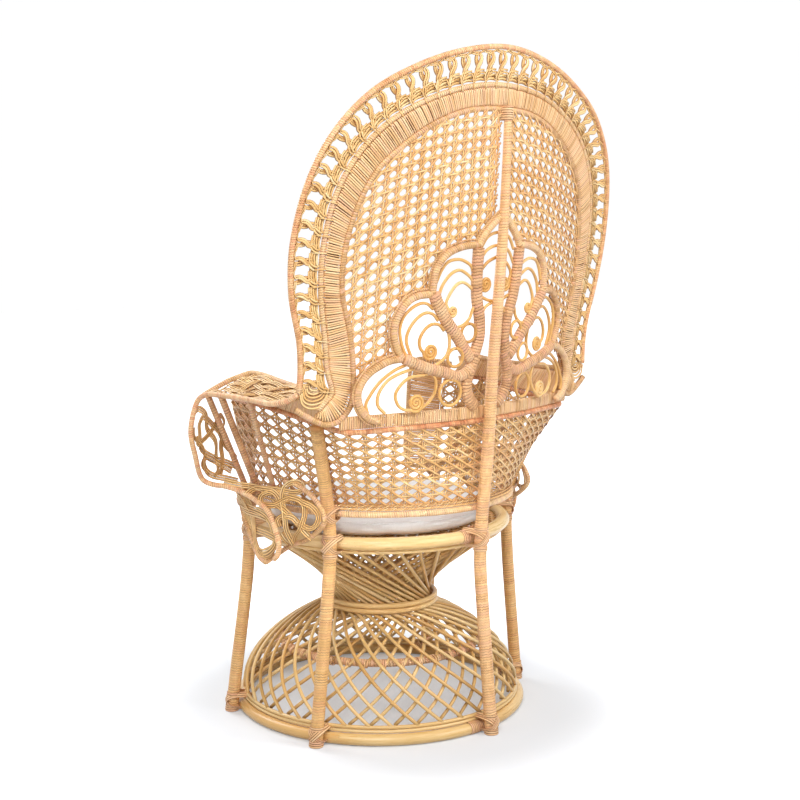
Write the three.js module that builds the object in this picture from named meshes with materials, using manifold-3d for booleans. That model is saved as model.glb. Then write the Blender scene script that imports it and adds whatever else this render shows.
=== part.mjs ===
// Peacock chair of wrapped rattan poles, bent canes and woven cane, with a loose round cushion.
// Lengths are millimetres and +Z is up. The sitter faces -Y and the fan rises at the back, at +Y.
// Turns are counted from +Y towards +X, round the upright axis through the rings.

import * as THREE from 'three';
import { mergeVertices } from 'three/addons/utils/BufferGeometryUtils.js';
import Module from 'manifold-3d';

const wasm = await Module();
wasm.setup();

// Fits
const contactGap = 0.3;
const weldTolerance = 0.001;
const cutOverrun = 2;
const ringAxisBack = -27.5;

// Rings of the base and the seat, their radii as shares of the fan's half width
const fanHalfWidth = 478;
const baseRingShare = 0.678;
const baseRingRadius = baseRingShare * fanHalfWidth;
const baseRingRod = 14.5;
const trimRod = 4.2;
const trimSetIn = 4;
const trimRadius = baseRingRadius - trimSetIn;
const seatRingHeight = 430;
const domeTopShare = 0.5326;
const domeTopHeight = domeTopShare * seatRingHeight;
const coneBelowSeat = 22;
const coneTopHeight = seatRingHeight - coneBelowSeat;
const waistRingShare = 0.272;
const waistRingRadius = waistRingShare * fanHalfWidth;
const waistRingRod = 6;
const waistOverDome = 9;
const waistRingHeight = domeTopHeight + waistOverDome;
const seatRingShare = 0.598;
const seatRingRadius = seatRingShare * fanHalfWidth;
const seatRingRod = 16;
const seatTrimSetIn = 5;
const seatTrimRadius = seatRingRadius - seatTrimSetIn;
const seatTrimRod = 5;
const seatDeckThickness = 6;
const ringSides = 6;
const ringSegments = 32;
const thinRingSides = 4;

// Rods of the dome and the cone, in two layers that cross
const rodsPerLayer = 38;
const rodRadius = 4;
const rodSides = 3;
const layerGap = 10.9;
const domeTwist = 60;
const outerConeTwist = 88;
const innerConeTwist = 100;
const layerDropShare = 0.6;
const layerRiseShare = 0.8;
const domeFullness = 1.8;
const domeSteps = 3;
const tieRingRod = 6.5;
const tieRingStepShare = 0.42;

// Posts
const postRadius = 14;
const postTipRadius = 8;
const postSides = 8;
const postLeanRoom = 1.2;
const postBehindTail = 24;
const postBehindRim = 12.6;
const sidePostFloorTurn = 66;
const sidePostSeatTurn = 62.7;
const sidePostTopTurn = 61;
const sidePostBelowRail = 16;
const centrePostTopShare = 0.828;
const frontPostOverRim = 25;
const frontPostFloorTurn = 117;
const frontPostSeatTurn = 111;
const lashingThickness = 3;
const lashingHeight = 46;

// Basket round the seat
const wallOutside = 18;
const wallBottomRadius = seatRingRadius + wallOutside;
const wallRimOverSeat = 67;
const wallRimHeight = seatRingHeight + wallRimOverSeat;
const wallRimRod = 6.5;
const wallTrimRod = 4;
const wallThickness = 3;
const wallRearLean = 17;
const wallTopRear = wallBottomRadius + wallRearLean;
const wallTopWidthShare = 0.7364;
const wallTopHalfWidth = wallTopWidthShare * fanHalfWidth;
const wallRise = 191;
const wallTopRearHeight = wallRimHeight + wallRise;
const wallFrontRise = 40;
const topRailRod = 5.5;
const sidePostTopHeight = wallTopRearHeight - sidePostBelowRail;
const frontPostTopHeight = wallRimHeight + frontPostOverRim;

// Fan: its depth at a place is a sum of named bends over its half width and half height
const fanFootOverWall = 12;
const fanFootHeight = wallTopRearHeight + fanFootOverWall;
const fanHeight = 761;
const fanMiddleShare = 0.46;
const fanMiddleHeight = fanFootHeight + fanMiddleShare * fanHeight;
const fanHalfHeightShare = 0.5467;
const fanHalfHeight = fanHalfHeightShare * fanHeight;
const fanBehindWall = 27.4;
const fanMiddleBack = wallTopRear + fanBehindWall;
const centrePostTopHeight = fanFootHeight + centrePostTopShare * fanHeight;
const fanLean = 34.5;
const fanCurl = 3.6;
const fanCup = 150.1;
const fanCupEase = 39.5;
const fanEdgeFlare = 66.7;
const fanCornerFlare = 41.1;
const outerRimRod = 5.5;
const midRimRod = 6;
const innerRimRod = 6.5;
const bandThickness = 8;
const laceThickness = 4;
const fieldThickness = 2.6;
const fieldBulge = 9;
const fieldFootShare = 0.131;
const fieldFootHeight = fanFootHeight + fieldFootShare * fanHeight;
const footRailShare = 0.661;
const footRailHalfWidth = footRailShare * fanHalfWidth;
const footRailDepth = 27;
const footRailThickness = 7;
const footRailSetIn = 1;

// Tail motif in the lower half of the fan
const tailGap = 1;
const tailRod = 7;
const tailHeightShare = 0.578;
const tailHeight = tailHeightShare * fanHeight;
const tailWidthShare = 0.661;
const tailHalfWidth = tailWidthShare * fanHalfWidth;
const spokeRod = 9.5;
const loopRod = 2.6;
const lobeRootShare = 0.4;
const loopTurns = 3;
const loopSteps = 27;
const loopShrinkShare = 0.8;
const loopReachShare = 0.46;

// Arms
const strutRod = 7;

// Cushion
const cushionRoom = 24;
const cushionRadius = seatRingRadius - cushionRoom;
const cushionThickness = 58;

const rattanPole = { color: 0xdba968, roughness: 0.45, metalness: 0 };
const wrappedCane = { color: 0xd9a673, roughness: 0.6, metalness: 0 };
const wovenCane = { color: 0xe0b46c, roughness: 0.6, metalness: 0 };
const linen = { color: 0xe9e4da, roughness: 0.95, metalness: 0 };

const chair = new THREE.Group();
chair.position.y = ringAxisBack;

function put(name, geometry, finish) {
  const mesh = new THREE.Mesh(geometry, new THREE.MeshStandardMaterial(finish));
  mesh.name = name;
  chair.add(mesh);
}

// A curve whose steps fall at even values of t.
class PlacedCurve extends THREE.Curve {
  constructor(place) {
    super();
    this.place = place;
  }

  getPoint(t) {
    return this.place(t);
  }

  getPointAt(t) {
    return this.place(t);
  }

  getTangentAt(t) {
    return this.getTangent(t);
  }
}

function through(points) {
  return new THREE.CatmullRomCurve3(points.map((p) => new THREE.Vector3(...p)));
}

function raised(curve, rise) {
  return new PlacedCurve((t) => curve.getPoint(t).add(new THREE.Vector3(0, 0, rise)));
}

function polar(radius, turn, height) {
  const angle = THREE.MathUtils.degToRad(turn);
  return new THREE.Vector3(radius * Math.sin(angle), radius * Math.cos(angle), height);
}

function merged(geometry) {
  const bare = geometry.clone();
  bare.deleteAttribute('normal');
  bare.deleteAttribute('uv');
  return mergeVertices(bare, weldTolerance);
}

function volumeOf(geometry) {
  const position = geometry.attributes.position;
  const index = geometry.index;
  const corners = [new THREE.Vector3(), new THREE.Vector3(), new THREE.Vector3()];
  let sum = 0;
  for (let i = 0; i < index.count; i += 3) {
    corners.forEach((corner, k) => corner.fromBufferAttribute(position, index.getX(i + k)));
    sum += corners[0].dot(corners[1].clone().cross(corners[2]));
  }
  return sum;
}

// Merges a geometry's vertices and turns a mirrored one's faces outward again.
function closed(geometry) {
  const body = merged(geometry);
  if (volumeOf(body) < 0) {
    const order = Array.from(body.index.array);
    for (let i = 0; i < order.length; i += 3) {
      [order[i], order[i + 1]] = [order[i + 1], order[i]];
    }
    body.setIndex(order);
  }
  return body;
}

function toManifold(geometry) {
  const body = closed(geometry);
  return new wasm.Manifold(new wasm.Mesh({
    numProp: 3,
    vertProperties: new Float32Array(body.attributes.position.array),
    triVerts: new Uint32Array(body.index.array),
  }));
}

function fromManifold(solid) {
  const mesh = solid.getMesh();
  const geometry = new THREE.BufferGeometry();
  geometry.setAttribute('position', new THREE.BufferAttribute(mesh.vertProperties, 3));
  geometry.setIndex(new THREE.BufferAttribute(mesh.triVerts, 1));
  return geometry;
}

function join(geometries) {
  return fromManifold(geometries.map(toManifold).reduce((sum, next) => sum.add(next)));
}

function cut(geometry, cutters) {
  return fromManifold(cutters.map(toManifold).reduce((rest, next) => rest.subtract(next), toManifold(geometry)));
}

function mirrored(geometry) {
  const copy = geometry.clone();
  copy.applyMatrix4(new THREE.Matrix4().makeScale(-1, 1, 1));
  return closed(copy);
}

function hoop(radius, height, rod, segments, sides) {
  const profile = [];
  for (let i = 0; i <= sides; i += 1) {
    const angle = (2 * Math.PI * i) / sides;
    profile.push(new THREE.Vector2(radius + rod * Math.cos(angle), rod * Math.sin(angle)));
  }
  const geometry = new THREE.LatheGeometry(profile, segments);
  geometry.rotateX(Math.PI / 2);
  geometry.translate(0, 0, height);
  return geometry;
}

function tube(curve, radius, steps, sides) {
  const corners = [];
  for (let i = 0; i < sides; i += 1) {
    const angle = (2 * Math.PI * i) / sides;
    corners.push(new THREE.Vector2(radius * Math.cos(angle), radius * Math.sin(angle)));
  }
  return closed(new THREE.ExtrudeGeometry(new THREE.Shape(corners), {
    steps,
    bevelEnabled: false,
    extrudePath: curve,
  }));
}

// A box whose three unit shares are mapped to places, so that it bends with them. Its two broad
// faces are split along the same diagonals, which keeps a twisted sheet evenly thick.
function bent(place, along, across) {
  const geometry = new THREE.BoxGeometry(1, 1, 1, along, across, 1);
  const position = geometry.attributes.position;
  for (let i = 0; i < position.count; i += 1) {
    const spot = place(position.getX(i) + 1 / 2, position.getY(i) + 1 / 2, position.getZ(i));
    position.setXYZ(i, spot.x, spot.y, spot.z);
  }
  const { start, count } = geometry.groups[5];
  const order = geometry.index.array;
  for (let i = start; i < start + count; i += 6) {
    const [a, b, d, , c] = order.slice(i, i + 6);
    order.set([a, b, c, a, c, d], i);
  }
  return closed(geometry);
}

// A sheet between two curves, held back from each of them, with its thickness square to both.
function sheetBetween(first, second, firstInset, secondInset, thickness, steps, across) {
  return bent((u, v, w) => {
    const a = first.getPoint(u);
    const b = second.getPoint(u);
    const over = b.clone().sub(a);
    const width = over.length();
    over.normalize();
    const side = first.getTangent(u).add(second.getTangent(u)).cross(over).normalize();
    const reach = firstInset + v * (width - firstInset - secondInset);
    return a.addScaledVector(over, reach).addScaledVector(side, w * thickness);
  }, steps, across);
}

// Base rings: a thick ring on the floor with two thin ones laid on it.
const baseRingHeight = baseRingRod * Math.cos(Math.PI / ringSides);
const lowerTrimHeight = 2 * baseRingHeight + contactGap + trimRod;
const upperTrimHeight = lowerTrimHeight + 2 * trimRod + contactGap;
put('base_ring', hoop(baseRingRadius, baseRingHeight, baseRingRod, ringSegments, ringSides), rattanPole);
put('base_trim_ring', hoop(trimRadius, lowerTrimHeight, trimRod, ringSegments, thinRingSides), rattanPole);

// The rods swell over the dome, pass the waist and run straight up the cone to the seat.
const rodWaistRadius = waistRingRadius - waistRingRod - contactGap;
const coneTopRadius = seatTrimRadius - seatTrimRod - rodRadius - contactGap;

function domePlace(share, inward) {
  const angle = (share * Math.PI) / 2;
  const radius = rodWaistRadius + (trimRadius - rodWaistRadius) * Math.cos(angle) ** domeFullness;
  const height = upperTrimHeight + (domeTopHeight - upperTrimHeight) * Math.sin(angle);
  return [radius - inward, height - inward * layerDropShare * Math.sin(angle)];
}

function rodPlace(start, direction, inward, coneTwist) {
  const [waistRadius, waistHeight] = domePlace(1, inward);
  const waist = polar(waistRadius, start + direction * domeTwist, waistHeight);
  const topTurn = start + direction * (domeTwist + coneTwist);
  const top = polar(coneTopRadius - inward, topTurn, coneTopHeight + inward * layerRiseShare);
  return (t) => {
    const step = t * (domeSteps + 1);
    if (step <= domeSteps) {
      const share = step / domeSteps;
      const [radius, height] = domePlace(share, inward);
      return polar(radius, start + direction * domeTwist * share, height);
    }
    return waist.clone().lerp(top, step - domeSteps);
  };
}

function rodLayer(direction, inward, coneTwist) {
  const rods = [];
  for (let i = 0; i < rodsPerLayer; i += 1) {
    const curve = new PlacedCurve(rodPlace((360 * i) / rodsPerLayer, direction, inward, coneTwist));
    rods.push(tube(curve, rodRadius, domeSteps + 1, rodSides));
  }
  return rods;
}

const upperTrim = hoop(trimRadius, upperTrimHeight, trimRod, ringSegments, thinRingSides);
put('hourglass_outer_rods', join([upperTrim, ...rodLayer(1, 0, outerConeTwist)]), rattanPole);
const [tieRadius, tieHeight] = domePlace(tieRingStepShare, layerGap);
const tieRing = hoop(tieRadius - tieRingRod - rodRadius / 2, tieHeight, tieRingRod, ringSegments, thinRingSides);
put('hourglass_inner_rods', join([tieRing, ...rodLayer(-1, layerGap, innerConeTwist)]), rattanPole);

const upperWaistHeight = waistRingHeight + 2 * waistRingRod + contactGap;
put('waist_ring_lower', hoop(waistRingRadius, waistRingHeight, waistRingRod, ringSegments, thinRingSides), rattanPole);
put('waist_ring_upper', hoop(waistRingRadius, upperWaistHeight, waistRingRod, ringSegments, thinRingSides), rattanPole);

// Seat: a thick ring, a thin one under it and a woven deck inside it.
put('seat_ring', hoop(seatRingRadius, seatRingHeight, seatRingRod, ringSegments, ringSides), rattanPole);
const seatRingHalfDepth = seatRingRod * Math.cos(Math.PI / ringSides);
const seatTrimHeight = seatRingHeight - seatRingHalfDepth - contactGap - seatTrimRod;
put('seat_trim_ring', hoop(seatTrimRadius, seatTrimHeight, seatTrimRod, ringSegments, thinRingSides), rattanPole);
const deckRadius = seatRingRadius - seatRingRod - contactGap;
const deck = new THREE.CylinderGeometry(deckRadius, deckRadius, seatDeckThickness, ringSegments);
deck.rotateX(Math.PI / 2);
deck.translate(0, 0, seatRingHeight);
put('seat_deck', deck, wovenCane);

// Posts stand outside the rings and lean out above the seat.
const postFloorRadius = baseRingRadius + baseRingRod + postRadius + contactGap + postLeanRoom;
const postSeatRadius = seatRingRadius + seatRingRod + postRadius + contactGap;

// A tube that grows thinner from start to end, with flat level ends.
function taperedPost(curve, startRadius, endRadius, steps) {
  const geometry = new THREE.CylinderGeometry(1, 1, 1, postSides, steps);
  const position = geometry.attributes.position;
  for (let i = 0; i < position.count; i += 1) {
    const share = position.getY(i) + 1 / 2;
    const middle = curve.getPointAt(share);
    const radius = startRadius + (endRadius - startRadius) * share ** 3;
    position.setXYZ(i, middle.x + radius * position.getZ(i), middle.y + radius * position.getX(i), middle.z);
  }
  return closed(geometry);
}

// Plan of the wall's top edge, as shares of its half width and its depth at the rear.
const wallPlanShares = [
  [0, 1], [0.27, 0.98], [0.49, 0.94], [0.75, 0.875], [0.95, 0.81],
  [1, 0.71], [0.99, 0.56], [0.98, 0.4], [1, 0.22], [1.03, 0.04], [1.01, -0.18], [0.96, -0.36],
];
const wallRiseShares = [0, 0, 0, 0, 0.02, 0.18, 0.3, 0.45, 0.7, 0.95, 1, 1];

const wallSide = wallPlanShares.map(([x, y], i) => [
  x * wallTopHalfWidth,
  y * wallTopRear,
  wallTopRearHeight + wallRiseShares[i] * wallFrontRise,
]);
const wallOther = wallSide.slice(1).reverse().map(([x, y, z]) => [-x, y, z]);
const wallTopCurve = through([...wallOther, ...wallSide]);

// The wall leans out from its round lower rim to the rail; a post stands just outside it.
const lowerCurve = new PlacedCurve((t) => {
  const above = wallTopCurve.getPoint(t);
  return polar(wallBottomRadius, THREE.MathUtils.radToDeg(Math.atan2(above.x, above.y)), wallRimHeight);
});

function besideWall(turn, height) {
  let low = 1 / 2;
  let high = 1;
  for (let i = 0; i < 30; i += 1) {
    const middle = (low + high) / 2;
    const place = wallTopCurve.getPoint(middle);
    if (THREE.MathUtils.radToDeg(Math.atan2(place.x, place.y)) < turn) low = middle;
    else high = middle;
  }
  const top = wallTopCurve.getPoint(low);
  const share = (height - wallRimHeight) / (top.z - wallRimHeight);
  const wall = wallBottomRadius + share * (Math.hypot(top.x, top.y) - wallBottomRadius);
  return polar(wall + wallRimRod + postRadius + 2 * contactGap, turn, height).toArray();
}

// How high on the fan the centre post passes, and how far behind it.
const centrePostShares = [[0.1, 0.84], [0.46, 1], [0.65, 0.86]];
const centrePostCurve = through([
  [0, postFloorRadius, 0],
  [0, postSeatRadius, seatRingHeight],
  besideWall(0, wallRimHeight),
  besideWall(0, sidePostTopHeight),
  ...centrePostShares.map(([rise, behind]) => {
    const height = fanFootHeight + rise * fanHeight;
    return [0, fanBack(0, height) + behind * postBehindTail, height];
  }),
  [0, fanBack(0, centrePostTopHeight) + postBehindRim, centrePostTopHeight],
]);
const centrePostSteps = 14;
put('rear_centre_post', taperedPost(centrePostCurve, postRadius, postTipRadius, centrePostSteps), wrappedCane);

const sidePostSteps = 10;
const sidePostCurve = through([
  polar(postFloorRadius, sidePostFloorTurn, 0).toArray(),
  polar(postSeatRadius, sidePostSeatTurn, seatRingHeight).toArray(),
  besideWall(sidePostSeatTurn, wallRimHeight),
  besideWall(sidePostTopTurn, sidePostTopHeight),
]);
const sidePost = taperedPost(sidePostCurve, postRadius, postRadius, sidePostSteps);
put('rear_side_post_left', sidePost, wrappedCane);
put('rear_side_post_right', mirrored(sidePost), wrappedCane);

const frontPostSteps = 6;
const frontPostCurve = through([
  polar(postFloorRadius, frontPostFloorTurn, 0).toArray(),
  polar(postSeatRadius, frontPostSeatTurn, seatRingHeight).toArray(),
  besideWall(frontPostSeatTurn, frontPostTopHeight),
]);
const frontPost = taperedPost(frontPostCurve, postRadius, postRadius, frontPostSteps);
put('front_post_left', frontPost, wrappedCane);
put('front_post_right', mirrored(frontPost), wrappedCane);

// Lashings: cane wound round each post where it crosses a ring, open where the ring passes.
function stretch(curve, bottom, top) {
  const find = (height) => {
    let low = 0;
    let high = 1;
    for (let i = 0; i < 30; i += 1) {
      const middle = (low + high) / 2;
      if (curve.getPointAt(middle).z < height) low = middle;
      else high = middle;
    }
    return low;
  };
  const first = find(bottom);
  const last = find(top);
  return new PlacedCurve((t) => curve.getPointAt(first + (last - first) * t));
}

function lashing(curve, steps, bottom, ring) {
  const skin = postRadius + lashingThickness;
  const bore = postRadius + contactGap;
  const outside = taperedPost(stretch(curve, bottom, bottom + lashingHeight), skin, skin, 1);
  return cut(outside, [taperedPost(curve, bore, bore, steps), ring]);
}

const baseCutter = hoop(baseRingRadius, baseRingHeight, baseRingRod + contactGap, ringSegments, ringSides);
const lowTrimCutter = hoop(trimRadius, lowerTrimHeight, trimRod + 2 * contactGap, ringSegments, thinRingSides);
const seatCutter = hoop(seatRingRadius, seatRingHeight, seatRingRod + contactGap, ringSegments, ringSides);
const baseClear = fromManifold(toManifold(baseCutter).add(toManifold(lowTrimCutter)));
const posts = [
  ['rear_centre', centrePostCurve, centrePostSteps, false],
  ['rear_side_left', sidePostCurve, sidePostSteps, false],
  ['rear_side_right', sidePostCurve, sidePostSteps, true],
  ['front_left', frontPostCurve, frontPostSteps, false],
  ['front_right', frontPostCurve, frontPostSteps, true],
];
posts.forEach(([name, curve, steps, mirror]) => {
  const foot = lashing(curve, steps, contactGap, baseClear);
  const seat = lashing(curve, steps, seatRingHeight - lashingHeight / 2, seatCutter);
  put(`foot_lashing_${name}`, mirror ? mirrored(foot) : foot, wrappedCane);
  put(`seat_lashing_${name}`, mirror ? mirrored(seat) : seat, wrappedCane);
});

// Basket wall: a woven sheet from the round lower rim up to the wider top rail.
const trimCurve = raised(lowerCurve, wallRimRod + wallTrimRod + contactGap);

put('wall_lower_rim', tube(lowerCurve, wallRimRod, 32, thinRingSides), wrappedCane);
put('wall_lower_trim', tube(trimCurve, wallTrimRod, 32, thinRingSides), wrappedCane);
put('wall_top_rail', tube(wallTopCurve, topRailRod, 44, thinRingSides), wrappedCane);
const wallInsets = [wallTrimRod + contactGap, topRailRod + 3 * contactGap];
put('wall_weave', sheetBetween(trimCurve, wallTopCurve, ...wallInsets, wallThickness, 44, 1), wovenCane);

// Fan: three rims on one curved surface, with the band and the lace between them.
function fanBack(x, z) {
  const wide = (x / fanHalfWidth) ** 2;
  const high = (z - fanMiddleHeight) / fanHalfHeight;
  return fanMiddleBack + fanLean * high + fanCurl * high ** 2 - fanCup * wide
    + fanCupEase * wide * high + fanEdgeFlare * wide ** 2 + fanCornerFlare * wide * high ** 2;
}

// The field and the tail motif bow back towards the centre post.
function fieldBack(x, z) {
  const over = Math.max(0, (z - fieldFootHeight) / (fanFootHeight + fanHeight - fieldFootHeight));
  const aside = Math.min(1, (x / (fanHalfWidth * innerRimShares[6][0])) ** 2);
  return fanBack(x, z) + fieldBulge * (1 - aside) * Math.max(0, 1 - over ** 2);
}

// Rims from the top down one side, as shares of the fan's half width and of its height over its foot.
const outerRimShares = [
  [0, 1], [0.262, 0.978], [0.508, 0.926], [0.722, 0.851], [0.877, 0.746], [0.962, 0.628],
  [1, 0.476], [0.983, 0.348], [0.933, 0.227], [0.923, 0.151], [0.927, 0.102],
];
const midRimShares = [
  [0, 0.901], [0.234, 0.886], [0.435, 0.846], [0.607, 0.787], [0.736, 0.706], [0.818, 0.607],
  [0.854, 0.473], [0.849, 0.361], [0.814, 0.219], [0.803, 0.158], [0.782, 0.095],
];
const innerRimShares = [
  [0, 0.838], [0.211, 0.827], [0.377, 0.791], [0.525, 0.732], [0.646, 0.661], [0.72, 0.565],
  [0.755, 0.46], [0.753, 0.355], [0.703, 0.237], [0.684, 0.145], [0.676, 0.075],
];
const innerFootShares = [[0.692, 0.039], [0.722, 0.024]];

function fanPlace([x, z]) {
  const across = x * fanHalfWidth;
  const height = fanFootHeight + z * fanHeight;
  return [across, fanBack(across, height), height];
}

function rimCurve(shares) {
  const right = shares.map(fanPlace);
  const left = right.slice(1).reverse().map(([x, y, z]) => [-x, y, z]);
  return through([...left, ...right]);
}

const outerRim = rimCurve(outerRimShares);
const midRim = rimCurve(midRimShares);
const innerRim = rimCurve(innerRimShares);
put('fan_outer_rim', tube(outerRim, outerRimRod, 48, thinRingSides), wrappedCane);
put('fan_mid_rim', tube(midRim, midRimRod, 48, thinRingSides), wrappedCane);
put('fan_inner_rim', tube(rimCurve([...innerRimShares, ...innerFootShares]), innerRimRod, 52, thinRingSides), wrappedCane);
const rimRoom = 4.4 * contactGap;
put('fan_lace', sheetBetween(midRim, outerRim, midRimRod + rimRoom, outerRimRod + rimRoom, laceThickness, 44, 1), wovenCane);
put('fan_band', sheetBetween(innerRim, midRim, innerRimRod + rimRoom, midRimRod + rimRoom, bandThickness, 44, 1), wrappedCane);

// The lobed outline of the tail motif, from its apex down one side.
const tailShares = [
  [0.052, 0.996], [0.15, 0.965], [0.253, 0.857], [0.4, 0.85], [0.522, 0.825], [0.62, 0.761], [0.649, 0.66],
  [0.775, 0.645], [0.905, 0.593], [0.959, 0.5], [0.94, 0.398], [0.85, 0.309], [0.918, 0.261],
  [0.987, 0.205], [1, 0.125], [0.965, 0.07],
];
const tailLift = fieldThickness / 2 + tailRod + contactGap + tailGap;

function tailPlace([x, z], lift) {
  const across = x * tailHalfWidth;
  const height = fanFootHeight + z * tailHeight;
  return [across, fieldBack(across, height) + lift, height];
}

const outlineSteps = 30;
const tailOutline = through(tailShares.map((place) => tailPlace(place, tailLift)));
const outlineRod = tube(tailOutline, tailRod, outlineSteps, thinRingSides);
put('tail_outline_left', outlineRod, wrappedCane);
put('tail_outline_right', mirrored(outlineRod), wrappedCane);

// Woven field inside the inner rim, open where the tail motif stands.
const fieldSideShares = [0.05, 0.3];
const fieldColumns = 12;
const fieldRows = 9;

function fieldShape() {
  const inset = innerRimRod + rimRoom;
  const plan = (t) => {
    const rim = innerRim.getPoint(t);
    const flat = new THREE.Vector2(rim.x, rim.z - fanMiddleHeight);
    flat.setLength(flat.length() - inset);
    return flat;
  };
  const [startShare, endShare] = fieldSideShares;
  const left = (v) => plan(startShare + (endShare - startShare) * v);
  const right = (v) => plan(1 - startShare - (endShare - startShare) * v);
  const top = (u) => plan(endShare + (1 - 2 * endShare) * u);
  const bottom = (u) => left(0).lerp(right(0), u);
  const sheet = bent((u, v, w) => {
    const flat = bottom(u).multiplyScalar(1 - v)
      .add(top(u).multiplyScalar(v))
      .add(left(v).multiplyScalar(1 - u))
      .add(right(v).multiplyScalar(u))
      .sub(left(0).multiplyScalar((1 - u) * (1 - v)))
      .sub(right(0).multiplyScalar(u * (1 - v)))
      .sub(left(1).multiplyScalar((1 - u) * v))
      .sub(right(1).multiplyScalar(u * v));
    const height = flat.y + fanMiddleHeight;
    return new THREE.Vector3(flat.x, fieldBack(flat.x, height) + w * fieldThickness, height);
  }, fieldColumns, fieldRows);
  const side = tailOutline.getPoints(outlineSteps).map((p) => new THREE.Vector2(p.x, p.z));
  side.push(new THREE.Vector2(side[outlineSteps].x, fanFootHeight));
  const other = side.map((p) => new THREE.Vector2(-p.x, p.y)).reverse();
  const outline = [...other, ...side];
  const cutter = new THREE.ExtrudeGeometry(new THREE.Shape(outline), { depth: fanMiddleBack, bevelEnabled: false });
  cutter.rotateX(Math.PI / 2);
  cutter.translate(0, fanMiddleBack + fanMiddleBack / 2, 0);
  return cut(sheet, [cutter]);
}
put('fan_field', fieldShape(), wovenCane);

// Flat wrapped rail along the fan's foot.
const footRailBottom = wallTopRearHeight + topRailRod + 2 * contactGap;
const footRail = bent((u, v, w) => {
  const across = (2 * u - 1) * footRailHalfWidth;
  const height = footRailBottom + v * footRailDepth;
  return new THREE.Vector3(across, fanBack(across, height) - footRailSetIn + w * footRailThickness, height);
}, 20, 1);
put('fan_foot_rail', footRail, wrappedCane);

// Branches of the tail motif: a hub with three wrapped spokes and a foot on the rail, on each side.
const hubShares = [0.2, 0.24];
const footHeightShare = (footRailBottom + footRailDepth - fanFootHeight) / tailHeight;
const spokeShares = [
  [hubShares, [0.135, 0.37], [0.15, 0.6], [0.215, 0.83]],
  [hubShares, [0.33, 0.37], [0.5, 0.53], [0.625, 0.645]],
  [hubShares, [0.4, 0.245], [0.62, 0.28], [0.815, 0.305]],
  [hubShares, [0.145, 0.15], [0.128, 0.1], [0.128, footHeightShare]],
];
const spokeLiftShares = [[1, 1, 1, 1], [1, 1, 1, 1], [1, 1, 1, 1], [1, 0.8, 0.25, 0.25]];
const spokes = spokeShares.map((shares, i) => tube(
  through(shares.map((place, k) => tailPlace(place, tailLift * spokeLiftShares[i][k]))),
  spokeRod,
  5,
  6,
));
const branch = join(spokes);
put('tail_branch_left', branch, wrappedCane);
put('tail_branch_right', mirrored(branch), wrappedCane);

// Bent canes in each lobe: they start at the outline and wind inward, level with it, to a curl.
// Each lobe has its root, its tip on the outline and its half width, all as shares.
const outlineStep = 1 / outlineSteps;
const lobeShares = [
  ['upper', [0.225, 0.33], 8 * outlineStep, 0.135],
  ['middle', [0.3, 0.275], 16 * outlineStep, 0.135],
  ['lower', [0.29, 0.16], 26 * outlineStep, 0.1],
];

function lobeCanes(start, reach, halfWidth, backAt) {
  const aside = new THREE.Vector2(reach.y, -reach.x).setLength(halfWidth);
  const curve = new PlacedCurve((t) => {
    const angle = 2 * Math.PI * loopTurns * t;
    const size = 1 - loopShrinkShare * t;
    const along = 1 - loopReachShare + loopReachShare * size * Math.cos(angle);
    const spread = size * Math.sin(angle) * (lobeRootShare + (1 - lobeRootShare) * along);
    const flat = start.clone().addScaledVector(reach, along).addScaledVector(aside, spread);
    return new THREE.Vector3(flat.x, backAt(flat.x, flat.y), flat.y);
  });
  return tube(curve, loopRod, loopSteps, thinRingSides);
}

lobeShares.forEach(([name, root, tip, width]) => {
  const [x, , z] = tailPlace(root, 0);
  const start = new THREE.Vector2(x, z);
  const end = tailOutline.getPoint(tip);
  const reach = new THREE.Vector2(end.x, end.z).sub(start);
  reach.setLength(reach.length() - tailRod - loopRod - 2 * contactGap);
  const canes = lobeCanes(start, reach, width * tailHalfWidth, (across, height) => fieldBack(across, height) + tailLift);
  put(`tail_loops_${name}_left`, canes, rattanPole);
  put(`tail_loops_${name}_right`, mirrored(canes), rattanPole);
});

// The centre lobe's canes cross in front of the post, which stands between its halves.
const centreLobeShares = [0.36, 0.95];
const centreWidthShare = 0.12;
const [centreRoot, centreTip] = centreLobeShares.map((share) => tailPlace([0, share], 0));
const centreStart = new THREE.Vector2(centreRoot[0], centreRoot[2]);
const centreReach = new THREE.Vector2(centreTip[0], centreTip[2]).sub(centreStart);
const postFront = new PlacedCurve((t) => {
  const place = centrePostCurve.getPoint(t);
  return place.setY(place.y - postRadius + (postRadius - postTipRadius) * t ** 3);
});
const postFrontAt = (height) => stretch(postFront, height, centrePostTopHeight).getPoint(0).y;
put('tail_loops_centre', lobeCanes(
  centreStart,
  centreReach,
  centreWidthShare * tailHalfWidth,
  (across, height) => postFrontAt(height) - loopRod - contactGap,
), rattanPole);

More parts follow.
